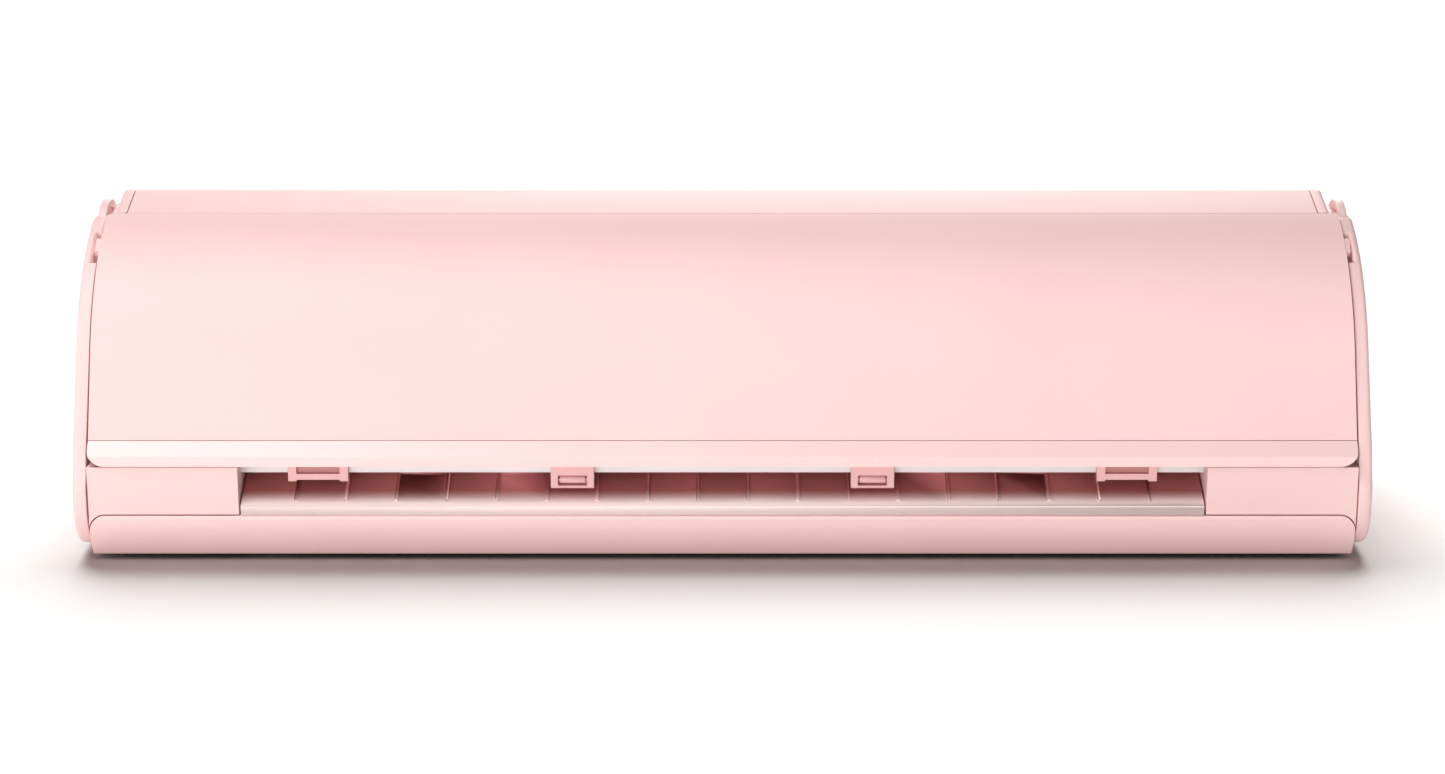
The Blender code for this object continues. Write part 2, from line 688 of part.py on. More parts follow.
def build_drawer(plastic, tray_plastic):
    path = drawer_points()
    back = FRONT + 11
    outline = rounded(path + [(back, 14), (back, path[0][1])])
    front = prism("drawer_front", "X", outline, -LID_HALF, LID_HALF, plastic)
    inner = inset([point[:2] for point in path], SKIN)
    room = [(inner[0][0], 0)] + inner + [(back + 1, inner[-1][1]), (back + 1, 0)]
    edge = LID_HALF - SKIN
    cut(front, prism("drawer_room", "X", room, -edge, edge))
    for side, sign in SIDES:
        corner = (sign * (LID_HALF - DRAWER_CORNER), DRAWER_TOP - DRAWER_CORNER)
        sweep = arc(corner, DRAWER_CORNER, 90, 90 - sign * 90, 8)
        outline = sweep + [(sign * (LID_HALF + 1), corner[1]), (sign * (LID_HALF + 1), DRAWER_TOP + 1)]
        outline += [(sweep[0][0], DRAWER_TOP + 1)]
        cut(front, prism("drawer_corner_" + side, "Y", outline, FRONT - 1, FRONT + 13))
    floor = PAN_TOP + 0.5
    near = FRONT + 10.6
    far = FRONT + DRAWER_TRAY_REACH
    half = DRAWER_TRAY_HALF
    tray = block("drawer_tray", (-half, near, floor), (half, far, floor + 2), tray_plastic)
    walls = [((-half, FRONT + 21, floor + 1), (2 - half, far, 24))]
    walls += [((half - 2, FRONT + 21, floor + 1), (half, far, 24))]
    walls += [((-half, far - 2, floor + 1), (half, far, 24))]
    for number, (low, high) in enumerate(walls):
        fuse(tray, block("tray_wall_%d" % number, low, high))
    for side, sign in SIDES:
        hinge = sign * (half - 15)
        axis = floor + 2 + FIT + ARM_HALF
        low, high = hinge - 3.5, hinge + 3.5
        fuse(tray, block("arm_lug_" + side, (low, FRONT + 17.8, floor + 1), (high, FRONT + 20.3, axis + 3.5)))
        pin = circle((hinge, axis), 1.5, 16)
        fuse(tray, prism("arm_pin_" + side, "Y", pin, FRONT + 10, FRONT + 18))
        build_roll_support(side, sign, hinge, axis, tray_plastic)


def build_roll_support(side, sign, hinge, axis, plastic):
    """Folded arm with a fork at its tip; it swings up about the pin as the drawer opens."""
    origin = (hinge, FRONT + 13.5, axis)
    near = FRONT + 9.5
    far = FRONT + 17.5
    tip = hinge - sign * ARM_LENGTH
    boss = arc((hinge, axis), ARM_HALF, -90 if sign > 0 else 270, 90, 8)
    outline = boss + [(tip, axis + ARM_HALF), (tip, axis - ARM_HALF)]
    arm = prism("roll_support_" + side, "Y", outline, near, far, plastic, origin)
    hole = circle((hinge, axis), 1.5 + RUNNING, 16)
    cut(arm, prism("arm_bore_" + side, "Y", hole, near - 1, far + 1))
    low, high = mirrored(1, tip - sign, tip + sign * 11)
    slot = WHEEL_HALF + FIT
    cut(arm, block("fork_slot_" + side, (low, near - 1, axis - slot), (high, far + 1, axis + slot)))
    centre = (tip + sign * 3.5, origin[1])
    fuse(arm, prism("wheel_pin_" + side, "Z", circle(centre, 1.0, 16), axis - 2.2, axis + 2.2))
    profile = [(axis - WHEEL_HALF, WHEEL_RADIUS - 0.4), (axis - WHEEL_HALF + 0.4, WHEEL_RADIUS)]
    profile += [(axis + WHEEL_HALF - 0.4, WHEEL_RADIUS), (axis + WHEEL_HALF, WHEEL_RADIUS - 0.4)]
    wheel = turned("support_wheel_" + side, "Z", centre, profile, plastic, origin=(*centre, axis))
    cut(wheel, prism("wheel_bore_" + side, "Z", circle(centre, 1.3, 16), axis - 3, axis + 3))


# ---------------------------------------------------------------- feed roller, gears, pinch rollers
def gear_outline(centre, teeth, phase):
    """Straight-sided teeth, thinner than half the pitch so that a pair turns freely."""
    pitch_radius = GEAR_MODULE * teeth / 2
    tip = pitch_radius + 0.8 * GEAR_MODULE
    root = pitch_radius - 1.1 * GEAR_MODULE
    step = 360 / teeth
    outline = []
    for tooth in range(teeth):
        middle = phase + tooth * step
        for radius, share in ((root, -0.26), (tip, -0.11), (tip, 0.11), (root, 0.26)):
            angle = math.radians(middle + share * step)
            outline.append((centre[0] + radius * math.cos(angle), centre[1] + radius * math.sin(angle)))
    return outline


def build_feed(grit, gear_plastic, motor_metal):
    """Grit roller with its gear, driven by the pinion of the feed motor below it."""
    end = FRAME_IN - 1
    gear_low = HOUSING_IN + HOUSING_SKIN + 0.8
    gear_high = gear_low + GEAR_WIDTH
    profile = [(-FRAME_OUT - 3, SHAFT_RADIUS), (-end, SHAFT_RADIUS), (-end, ROLLER_RADIUS)]
    profile += [(end, ROLLER_RADIUS), (end, SHAFT_RADIUS), (gear_high + 1, SHAFT_RADIUS)]
    turned("feed_roller", "X", ROLLER, profile, grit, sides=32)
    teeth = gear_outline(ROLLER, GEAR_TEETH, PINION_ANGLE)
    gear = prism("feed_gear", "X", teeth, gear_low, gear_high, gear_plastic, (0, *ROLLER))
    cut(gear, prism("gear_bore", "X", circle(ROLLER, SHAFT_RADIUS + FIT), gear_low - 1, gear_high + 1))
    distance = GEAR_MODULE * (GEAR_TEETH + PINION_TEETH) / 2
    pinion = arc(ROLLER, distance, PINION_ANGLE, PINION_ANGLE, 1)[0]
    phase = PINION_ANGLE + 180 + 180 / PINION_TEETH
    outline = gear_outline(pinion, PINION_TEETH, phase)
    wheel = prism("motor_pinion", "X", outline, gear_low, gear_high, gear_plastic, (0, *pinion))
    shaft = circle(pinion, 2.0, 16)
    fuse(wheel, prism("pinion_shaft", "X", shaft, gear_high - 1, gear_high + 6))
    face = gear_high + 2
    end = face + MOTOR_LENGTH
    radius = FEED_MOTOR_RADIUS
    profile = [(face, radius - 1), (face + 1, radius), (end - 1, radius), (end, radius - 1)]
    motor = turned("feed_motor", "X", pinion, profile, motor_metal, sides=32)
    cut(motor, prism("motor_bore", "X", circle(pinion, 2.0 + RUNNING, 16), face - 1, face + 6))


def build_pinch_brackets(plastic, rubber):
    """U-shaped frames that hang over the beam and slide along it, with a roller behind."""
    beam = FRONT + BEAM_BACK
    near = beam - 3.8
    top = BEAM_HIGH + RUNNING + 3
    hook = [(near, 40.0), (beam - RUNNING, 40.0), (beam - RUNNING, BEAM_HIGH + RUNNING)]
    hook += [(beam + 20, BEAM_HIGH + RUNNING), (beam + 20, PINCH[1] + 3.5), (beam + 27, PINCH[1] - 3)]
    hook += [(PINCH[0] + 2.6, PINCH[1] - 3, 1.5), (PINCH[0] + 4.5, PINCH[1] + 3, 2.0)]
    hook += [(PINCH[0] + 1, top, 3.0), (near, top, 3.0)]
    for side, sign in SIDES:
        middle = sign * (FASCIA_IN - BRACKET_INSET)
        low = middle - BRACKET_HALF
        high = middle + BRACKET_HALF
        origin = (middle, beam, BEAM_HIGH)
        bracket = prism("pinch_bracket_" + side, "X", rounded(hook), low, high, plastic, origin)
        gaps = {
            "window": ((low + POST, near - 1, WINDOW_LOW), (high - POST, near + WINDOW_DEPTH, WINDOW_HIGH)),
            "feet_gap": ((low + POST, near - 1, 39.0), (high - POST, beam + 1, 41.0)),
            "roller_gap": ((low + POST, PINCH[0] - 8, 40.0), (high - POST, PINCH[0] + 8, PINCH[1] + 5.6)),
        }
        for name, (start, stop) in gaps.items():
            cut(bracket, block(name + "_" + side, start, stop))
        axle = circle(PINCH, 1.5, 16)
        fuse(bracket, prism("pinch_axle_" + side, "X", axle, low + 3, high - 3))
        half = BRACKET_HALF - POST - RUNNING
        profile = [(middle - half, PINCH_RADIUS - 0.6), (middle - half + 0.6, PINCH_RADIUS)]
        profile += [(middle + half - 0.6, PINCH_RADIUS), (middle + half, PINCH_RADIUS - 0.6)]
        roller = turned("pinch_roller_" + side, "X", PINCH, profile, rubber, origin=(middle, *PINCH))
        bore = circle(PINCH, 1.5 + FIT, 16)
        cut(roller, prism("pinch_bore_" + side, "X", bore, low, high))


def build_center_blocks(plastic):
    """Fixed guide blocks on the beam, each with a small nose roller in a notch."""
    beam = FRONT + BEAM_BACK
    near = beam - 6.0
    top = BEAM_HIGH + FIT + 3
    hook = [(near, 36.5, 1.0), (beam - 0.7, 38.3)]
    hook += [(beam - FIT, BEAM_LOW - 0.5), (beam - FIT, BEAM_HIGH + FIT)]
    hook += [(beam + 19.8, BEAM_HIGH + FIT), (beam + 19.8, 51.0), (beam + 23, 51.0), (beam + 23, top, 2.0)]
    hook += [(near, top, 3.0)]
    nose = (near + NOSE_RADIUS + 0.6, 41.2)
    for side, sign in SIDES:
        middle = sign * BLOCK_PLACE
        low = middle - BLOCK_HALF
        guide = prism("center_block_" + side, "X", rounded(hook), low, low + 2 * BLOCK_HALF, plastic)
        notch = NOTCH_HALF
        start = (middle - notch, near - 1, nose[1] - 2.6)
        stop = (middle + notch, beam - 0.9, nose[1] + 2.6)
        cut(guide, block("nose_notch_" + side, start, stop))
        low, high = middle - notch - 1, middle + notch + 1
        fuse(guide, prism("nose_axle_" + side, "X", circle(nose, 0.7, 12), low, high))
        half = notch - 0.9
        profile = [(middle - half, NOSE_RADIUS), (middle + half, NOSE_RADIUS)]
        roller = turned("nose_roller_" + side, "X", nose, profile, plastic, sides=16, origin=(middle, *nose))
        cut(roller, prism("nose_bore_" + side, "X", circle(nose, 1.0, 12), low, low + 2 * BLOCK_HALF))


# ---------------------------------------------------------------- carriage, tools and drive
def build_carriage(plastic, dark_plastic):
    """Hooked over the rail; its rear tongue holds the belt's upper run."""
    face = FRONT + CARRIAGE_BACK
    rail = FRONT + RAIL_BACK
    over = RAIL_HIGH + RUNNING
    tail = FRONT + BELT_BACK + BELT_WIDTH + 1.2
    grip = BELT_HEIGHT + PULLEY_RADIUS + FIT + BELT_THICK + RUNNING
    outline = [(face, 62, 2.0), (rail - 12, 62, 3.0), (rail - RUNNING, 76), (rail - RUNNING, over)]
    outline += [(rail + RAIL_DEPTH + RUNNING, over), (rail + RAIL_DEPTH + RUNNING, grip)]
    outline += [(tail, grip), (tail, over + 2.5, 1.0), (rail + RAIL_DEPTH + 3, over + 2.5)]
    outline += [(rail + RAIL_DEPTH, CARRIAGE_TOP, 3.0), (face, CARRIAGE_TOP, 5.0)]
    origin = (PARK, face, CARRIAGE_TOP)
    low = PARK - CARRIAGE_HALF
    prism("carriage", "X", rounded(outline), low, low + 2 * CARRIAGE_HALF, plastic, origin)
    for number, offset in ((1, -TOOL_SPACING / 2), (2, TOOL_SPACING / 2)):
        build_tool_holder(number, PARK + offset, -1 if offset < 0 else 1, dark_plastic)


def build_tool_holder(number, middle, sign, plastic):
    """Socket block that moves down on the carriage, with a lock flap hinged at its front."""
    near = FRONT + TOOL_BACK - HOLDER_HALF
    far = FRONT + CARRIAGE_BACK - RUNNING
    corner = 3.0
    outline = [(middle - HOLDER_HALF, near, corner), (middle + HOLDER_HALF, near, corner)]
    outline += [(middle + HOLDER_HALF, far), (middle - HOLDER_HALF, far)]
    origin = (middle, FRONT + TOOL_BACK, HOLDER_LOW)
    holder = prism("tool_holder_%d" % number, "Z", rounded(outline), HOLDER_LOW, HOLDER_HIGH, plastic, origin)
    bore = circle((middle, FRONT + TOOL_BACK), TOOL_RADIUS + RUNNING, 32)
    cut(holder, prism("tool_bore_%d" % number, "Z", bore, HOLDER_LOW - 1, HOLDER_HIGH + 1))
    hinge = (middle + sign * (HOLDER_HALF - LOCK_HALF), near - RUNNING - LOCK_HALF)
    for place, base in (("low", LUG_LOW), ("high", LUG_HIGH - LUG)):
        ear = [(hinge[0] - LOCK_HALF, near + 3.2), (hinge[0] - LOCK_HALF, hinge[1])]
        ear = arc(hinge, LOCK_HALF, 180, 360, 6) + [(hinge[0] + LOCK_HALF, near + 3.2)] + ear[:1]
        fuse(holder, prism("lock_lug_%s_%d" % (place, number), "Z", ear, base, base + LUG))
    pin = circle(hinge, 0.9, 12)
    fuse(holder, prism("lock_pin_%d" % number, "Z", pin, LUG_LOW + 1, LUG_HIGH - 1))
    low = LUG_LOW + LUG + FIT
    high = LUG_HIGH - LUG - FIT
    flap = arc(hinge, LOCK_HALF, 90 - sign * 90 + 90, 90 - sign * 90 - 90, 6)
    tip = hinge[0] - sign * LOCK_LENGTH
    flap += [(tip, flap[-1][1], 0.8), (tip, flap[0][1], 0.8)]
    lock = prism("tool_lock_%d" % number, "Z", rounded(flap), low, high, plastic, (*hinge, low))
    cut(lock, prism("lock_bore_%d" % number, "Z", circle(hinge, 1.2, 12), low - 1, high + 1))


def build_blade_tool(plastic):
    tip = HOLDER_LOW - 9
    rest = HOLDER_HIGH + RUNNING
    profile = [(tip, 0.6), (tip + 4, 2.4), (tip + 6, 3.4)]
    profile += [(tip + 9, TOOL_RADIUS - 1), (tip + 12, TOOL_RADIUS)]
    profile += [(rest, TOOL_RADIUS), (rest, TOOL_RADIUS + 1.8), (rest + 3, TOOL_RADIUS + 1.8)]
    profile += [(rest + 3.6, TOOL_RADIUS - 0.8), (CARRIAGE_TOP - 1, TOOL_RADIUS - 0.8)]
    profile += [(CARRIAGE_TOP, TOOL_RADIUS - 1.8)]
    turned("blade_tool", "Z", (PARK - TOOL_SPACING / 2, FRONT + TOOL_BACK), profile, plastic, sides=32)


def build_belt_drive(belt_rubber, metal, motor_metal):
    """Toothed belt round two pulleys behind the rail; the right one is on the motor."""
    low = FRONT + BELT_BACK
    high = low + BELT_WIDTH
    inner = PULLEY_RADIUS + FIT
    loops = []
    for radius in (inner + BELT_THICK, inner):
        loop = arc((PULLEY_PLACE, BELT_HEIGHT), radius, -90, 90, 12)
        loops.append(loop + arc((-PULLEY_PLACE, BELT_HEIGHT), radius, 90, 270, 12))
    belt = prism("drive_belt", "Y", loops[0], low, high, belt_rubber)
    cut(belt, prism("belt_inside", "Y", loops[1], low - 1, high + 1))
    rail_rear = FRONT + RAIL_BACK + RAIL_DEPTH
    stub = [(rail_rear + FIT, 1.5), (low - 0.7, 1.5), (low - 0.7, PULLEY_RADIUS), (high + 0.7, PULLEY_RADIUS)]
    turned("idler_pulley", "Y", (-PULLEY_PLACE, BELT_HEIGHT), stub, metal)
    face = high + 3
    stub = [(low - 0.7, PULLEY_RADIUS), (high + 0.7, PULLEY_RADIUS), (high + 0.7, 1.5), (face + 5, 1.5)]
    turned("drive_pulley", "Y", (PULLEY_PLACE, BELT_HEIGHT), stub, metal)
    end = face + MOTOR_LENGTH
    profile = [(face, BELT_MOTOR_RADIUS), (end - 1, BELT_MOTOR_RADIUS), (end, BELT_MOTOR_RADIUS - 1)]
    motor = turned("carriage_motor", "Y", (PULLEY_PLACE, BELT_HEIGHT), profile, motor_metal, sides=32)
    start = (PULLEY_PLACE - 17, face, BELT_HEIGHT - 16)
    fuse(motor, block("motor_flange", start, (SEAT_HALF, face + 3, BELT_HEIGHT + 16)))
    bore = circle((PULLEY_PLACE, BELT_HEIGHT), 1.5 + RUNNING, 16)
    cut(motor, prism("drive_bore", "Y", bore, face - 1, face + 7))


# ---------------------------------------------------------------- rear and electrics
def build_cross_cutter(plastic):
    """Knob on the rear wall; its neck runs in the slot above the media exit."""
    middle = 18 - FASCIA_IN
    slot_low = EXIT_HIGH + 4
    slot_high = EXIT_HIGH + 9
    plate = [(middle - 12, EXIT_HIGH - 5, 2.0), (middle + 12, EXIT_HIGH - 5, 2.0)]
    plate += [(middle + 12, slot_high + 3, 2.0), (middle - 12, slot_high + 3, 2.0)]
    origin = (middle, REAR_FACE, (slot_low + slot_high) / 2)
    knob = prism("cross_cutter", "Y", rounded(plate), REAR_FACE + RUNNING, BACK, plastic, origin)
    inner = REAR_FACE - SKIN - RUNNING
    low = (middle - 7, inner - 0.5, slot_low + RUNNING)
    neck = block("cutter_neck", low, (middle + 7, REAR_FACE + 1.5, slot_high - RUNNING))
    low = (middle - 8.5, inner - 1.2, slot_low - 1.5)
    shoe = block("cutter_shoe", low, (middle + 8.5, inner, slot_high + 1.5))
    fuse(knob, neck, shoe)


def build_electrics(board_finish, socket_plastic):
    low = HOUSING_IN + 3
    high = REAR_HALF - 2
    near = BACK - 100
    far = REAR_FACE - 12
    top = BOARD_TOP
    board = block("main_board", (low, near, top - 1.6), (high, far, top), board_finish)
    posts = [(x, y) for y in (near + 4, far - 4) for x in (low + 4, high - 4)]
    for number, (x, y) in enumerate(posts):
        fuse(board, prism("standoff_%d" % number, "Z", circle((x, y), 2.5, 12), PAN_TOP + FIT, top - 1))
    chips = [((low + 6, near + 20), (low + 18, near + 32), 2.0)]
    chips += [((low + 24, near + 26), (low + 34, near + 44), 9.0)]
    for number, (start, stop, height) in enumerate(chips):
        fuse(board, block("chip_%d" % number, (*start, top - 0.5), (*stop, top + height)))
    x = REAR_HALF - 14
    z = 22.1
    start = (x - SOCKET_HALF, far - 4, top + FIT)
    inlet = block("power_inlet", start, (x + SOCKET_HALF, REAR_FACE, 28.0), socket_plastic)
    cut(inlet, prism("inlet_bore", "Y", circle((x, z), 2.8), REAR_FACE - 8, REAR_FACE + 1))
    fuse(inlet, prism("inlet_pin", "Y", circle((x, z), 0.9, 12), REAR_FACE - 9, REAR_FACE - 1))
    x = REAR_HALF - 38
    start = (x - SOCKET_HALF, far - 4, top + FIT)
    port = block("usb_port", start, (x + SOCKET_HALF, REAR_FACE, 22.0), socket_plastic)
    cut(port, block("usb_opening", (x - 4.5, REAR_FACE - 6, 17.3), (x + 4.5, REAR_FACE + 1, 20.5)))


def build():
    for old in list(bpy.data.objects):
        bpy.data.objects.remove(old)
    pink = make_finish("pink_abs", "FBDAD7", 0.42)
    pale = make_finish("pale_pink_abs", "FCE9E7", 0.38)
    rose = make_finish("rose_abs", "F3C9C8", 0.5)
    white = make_finish("off_white_abs", "E9E4E1", 0.5)
    grey = make_finish("grey_abs", "8E8C8C", 0.5)
    dark = make_finish("charcoal_abs", "3A3A3C", 0.45)
    steel = make_finish("zinc_steel", "B9BBBC", 0.35, 1.0)
    aluminium = make_finish("aluminium", "C9CBCD", 0.3, 1.0)
    motor = make_finish("motor_steel", "7C7E80", 0.4, 1.0)
    rubber = make_finish("rubber", "2B2B2C", 0.8)
    grit = make_finish("grit_steel", "8F8F8D", 0.6, 1.0)
    acetal = make_finish("acetal", "EFEDE6", 0.4)
    glass = make_finish("panel_glass", "101114", 0.1)
    board = make_finish("circuit_board", "2F6B3F", 0.5)
    strip = make_finish("strip_ptfe", "4A4A4D", 0.6)

    build_base_pan(steel)
    build_feet(rubber)
    build_side_frames(steel)
    build_media_tray(rose)
    build_platen(grey, strip)
    build_roller_beam(white)
    build_carriage_rail(aluminium)
    build_side_covers(pink)
    build_rear_cover(pink)
    build_rear_caps(pink)
    build_fascias(pink)
    build_end_housings(pale)
    build_controls(glass, rose)
    build_lid(pink, pale)
    build_lid_arms(pink)
    build_drawer(pink, grey)
    build_feed(grit, acetal, motor)
    build_pinch_brackets(rose, rubber)
    build_center_blocks(rose)
    build_carriage(white, grey)
    build_blade_tool(dark)
    build_belt_drive(rubber, steel, motor)
    build_cross_cutter(rose)
    build_electrics(board, dark)


build()
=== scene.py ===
import math

import bmesh
import bpy
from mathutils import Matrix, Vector


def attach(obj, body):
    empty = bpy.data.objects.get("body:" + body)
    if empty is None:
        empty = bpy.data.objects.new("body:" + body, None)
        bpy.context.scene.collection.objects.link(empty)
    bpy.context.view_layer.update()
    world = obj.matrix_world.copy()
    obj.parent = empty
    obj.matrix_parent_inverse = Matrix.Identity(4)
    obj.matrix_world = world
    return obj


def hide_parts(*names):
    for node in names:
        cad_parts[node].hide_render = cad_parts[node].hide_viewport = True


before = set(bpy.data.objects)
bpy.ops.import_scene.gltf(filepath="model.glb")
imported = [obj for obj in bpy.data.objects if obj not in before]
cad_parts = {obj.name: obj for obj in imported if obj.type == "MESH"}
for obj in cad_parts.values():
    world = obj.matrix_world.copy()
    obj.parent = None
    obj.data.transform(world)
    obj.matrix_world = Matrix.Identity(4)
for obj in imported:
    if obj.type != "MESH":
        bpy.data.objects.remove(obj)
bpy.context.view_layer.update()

# ---------------------------------------------------------------- Studio
# A pale matt sheet under the machine. One broad lamp high behind it lights the sheet and
# throws the short soft shadow forward; the others are soft boxes for the machine's faces.
MM = 0.001
CAMERA_PLACE = (0.0, -1583.0, 490.0)
CAMERA_DOWN = 15.0
CAMERA_LENS = 76.6
LAMP_WHITE = (1.0, 0.995, 0.985)


def linear(hex_colour):
    """An sRGB hex colour as the linear red, green, blue and alpha that Blender works in."""
    channels = []
    for start in (0, 2, 4):
        value = int(hex_colour[start:start + 2], 16) / 255
        channels.append(value / 12.92 if value <= 0.04045 else ((value + 0.055) / 1.055) ** 2.4)
    return (*channels, 1.0)


def add_node(material, kind, settings=None, links=None):
    """Adds a node; a setting is a property or a socket's value, a link feeds a socket."""
    node = material.node_tree.nodes.new(kind)
    for name, value in (settings or {}).items():
        if isinstance(name, str) and hasattr(node, name):
            setattr(node, name, value)
        else:
            node.inputs[name].default_value = value
    for name, source in (links or {}).items():
        material.node_tree.links.new(source, node.inputs[name])
    return node


def new_finish(name, colour, roughness, metallic=0.0, **more):
    """A material with its plain values on the shader's own sockets."""
    material = bpy.data.materials.new(name)
    material.use_nodes = True
    shader = material.node_tree.nodes["Principled BSDF"]
    shader.inputs["Base Color"].default_value = linear(colour)
    shader.inputs["Roughness"].default_value = roughness
    shader.inputs["Metallic"].default_value = metallic
    for name, value in more.items():
        shader.inputs[name.replace("_", " ")].default_value = value
    return material, shader


def sheet_floor():
    material, shader = new_finish("matt_paper", "F5F4F3", 0.95)
    data = bpy.data.meshes.new("floor")
    reach = 30.0
    data.from_pydata([(-reach, -reach, 0), (reach, -reach, 0), (reach, reach, 0), (-reach, reach, 0)], [],
                     [(0, 1, 2, 3)])
    data.materials.append(material)
    floor = bpy.data.objects.new("floor", data)
    bpy.context.scene.collection.objects.link(floor)
    return floor


def aim(thing, place, target):
    thing.location = Vector(place) * MM
    way = Vector(target) - Vector(place)
    thing.rotation_euler = way.to_track_quat("-Z", "Y").to_euler()
    bpy.context.scene.collection.objects.link(thing)


def soft_box(name, place, target, width, height, power):
    data = bpy.data.lights.new(name, "AREA")
    data.shape = "RECTANGLE"
    data.size = width * MM
    data.size_y = height * MM
    data.energy = power
    data.color = LAMP_WHITE
    lamp = bpy.data.objects.new(name, data)
    aim(lamp, place, target)
    return lamp


scene = bpy.context.scene
scene.view_settings.view_transform = "Standard"
floor = sheet_floor()

camera_data = bpy.data.cameras.new("camera")
camera_data.lens = CAMERA_LENS
camera_data.clip_end = 60
camera = bpy.data.objects.new("camera", camera_data)
camera.location = Vector(CAMERA_PLACE) * MM
camera.rotation_euler = (math.radians(90 - CAMERA_DOWN), 0, 0)
scene.collection.objects.link(camera)
scene.camera = camera

world = bpy.data.worlds.new("studio")
world.use_nodes = True
world.node_tree.nodes["Background"].inputs["Color"].default_value = linear("FFFFFF")
world.node_tree.nodes["Background"].inputs["Strength"].default_value = 0.12
scene.world = world

overhead_data = bpy.data.lights.new("overhead", "SUN")
overhead_data.energy = 3.9
overhead_data.angle = math.radians(48)
overhead_data.color = LAMP_WHITE
overhead = bpy.data.objects.new("overhead", overhead_data)
aim(overhead, (-160, 1250, 2000), (0, 0, 0))


def flag(lamp, state):
    """Keeps a lamp to the paper sheet, or off it, as flags and grids do in a studio."""
    group = bpy.data.collections.new(lamp.name + "_flag")
    group.objects.link(floor)
    group.collection_objects[0].light_linking.link_state = state
    lamp.light_linking.receiver_collection = group


flag(overhead, "INCLUDE")
flag(soft_box("key", (-800, -700, 2250), (0, 0, 90), 1500, 800, 37), "EXCLUDE")
flag(soft_box("front_fill", (-600, -2500, 135), (0, 0, 40), 1700, 240, 27), "EXCLUDE")
flag(soft_box("left_fill", (-2000, -1100, 500), (0, 0, 90), 900, 700, 5), "EXCLUDE")
flag(soft_box("rear_fill", (200, 2200, 1100), (0, 0, 90), 1500, 900, 58), "EXCLUDE")

# ---------------------------------------------------------------- Base pan, feet and side frames
# The pan is a zinc-plated pressing that everything stands on. Two steel plates rise from it
# and carry the feed roller, the rail and the hinge; four moulded rubber feet are stuck below.
EDGE_STEPS = 3


def object_place(material, stretch=(1.0, 1.0, 1.0)):
    """Where a point lies on the piece, in metres, drawn out along an axis if asked."""
    place = add_node(material, "ShaderNodeTexCoord").outputs["Object"]
    if stretch == (1.0, 1.0, 1.0):
        return place
    return add_node(material, "ShaderNodeMapping", {"Scale": stretch}, {"Vector": place}).outputs["Vector"]


def roughen(material, shader, source, low, high, bump_mm, strength):
    """Lets a pattern vary the shine between two roughness values and raise a fine relief."""
    spread = add_node(material, "ShaderNodeMapRange", {"To Min": low, "To Max": high}, {"Value": source})
    material.node_tree.links.new(spread.outputs["Result"], shader.inputs["Roughness"])
    settings = {"Strength": strength, "Distance": bump_mm * MM}
    relief = add_node(material, "ShaderNodeBump", settings, {"Height": source})
    material.node_tree.links.new(relief.outputs["Normal"], shader.inputs["Normal"])


def vary(material, shader, source, first, second):
    """Drifts the colour between two close shades as a pattern says."""
    ramp = add_node(material, "ShaderNodeValToRGB", None, {"Fac": source})
    ramp.color_ramp.elements[0].position = 0.3
    ramp.color_ramp.elements[0].color = linear(first)
    ramp.color_ramp.elements[1].position = 0.7
    ramp.color_ramp.elements[1].color = linear(second)
    material.node_tree.links.new(ramp.outputs["Color"], shader.inputs["Base Color"])


def zinc_plate():
    # Zinc-plated sheet steel, passivated: a cool grey metal with faint rolling lines and
    # cloudy spangle a few millimetres wide.
    material, shader = new_finish("zinc_plated_steel", "B4B7BA", 0.36, 1.0)
    lines = object_place(material, (1.0, 1.0, 30.0))
    rolled = add_node(material, "ShaderNodeTexNoise", {"Scale": 1 / (6 * MM), "Detail": 4.0},
                      {"Vector": lines})
    cloud = add_node(material, "ShaderNodeTexVoronoi", {"Scale": 1 / (5 * MM)},
                     {"Vector": object_place(material)})
    vary(material, shader, cloud.outputs["Distance"], "A9ACB0", "BEC1C4")
    roughen(material, shader, rolled.outputs["Fac"], 0.30, 0.44, 0.02, 0.3)
    return material


def moulded_rubber(name, colour, shine):
    # Moulded black rubber: nearly matt, with the fine pitted skin that a blasted mould leaves.
    material, shader = new_finish(name, colour, shine)
    pits = add_node(material, "ShaderNodeTexNoise", {"Scale": 1 / (0.7 * MM), "Detail": 3.0},
                    {"Vector": object_place(material)})
    roughen(material, shader, pits.outputs["Fac"], shine - 0.08, shine + 0.08, 0.05, 0.35)
    return material


def soften(piece, edge, angle=28):
    """Rounds a piece's edges by a radius in millimetres, as a mould or a press leaves them."""
    bevel = piece.modifiers.new("edge", "BEVEL")
    bevel.width = edge * MM
    bevel.segments = EDGE_STEPS
    bevel.limit_method = "ANGLE"
    bevel.angle_limit = math.radians(angle)
    bevel.harden_normals = True
    piece.data.shade_smooth()


def finish_node(node, material, edge):
    """Gives a machined or moulded part of the frame its finish and softened edges."""
    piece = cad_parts[node]
    for slot in piece.material_slots:
        slot.material = material
    weld = piece.modifiers.new("seams", "WELD")
    weld.merge_threshold = 0.002 * MM
    soften(piece, edge)


ZINC = zinc_plate()
RUBBER = moulded_rubber("moulded_rubber", "2A2A2B", 0.75)
finish_node("base_pan", ZINC, 0.5)
for side in ("left", "right"):
    finish_node("side_frame_" + side, ZINC, 0.3)
    finish_node("foot_front_" + side, RUBBER, 0.3)
    finish_node("foot_rear_" + side, RUBBER, 0.3)

# ---------------------------------------------------------------- Feed roller, gears and motors
# A steel roller whose raised bands of grit grip the sheet, turned by a large acetal gear.
# The feed motor's pinion meshes with it behind the right end housing.


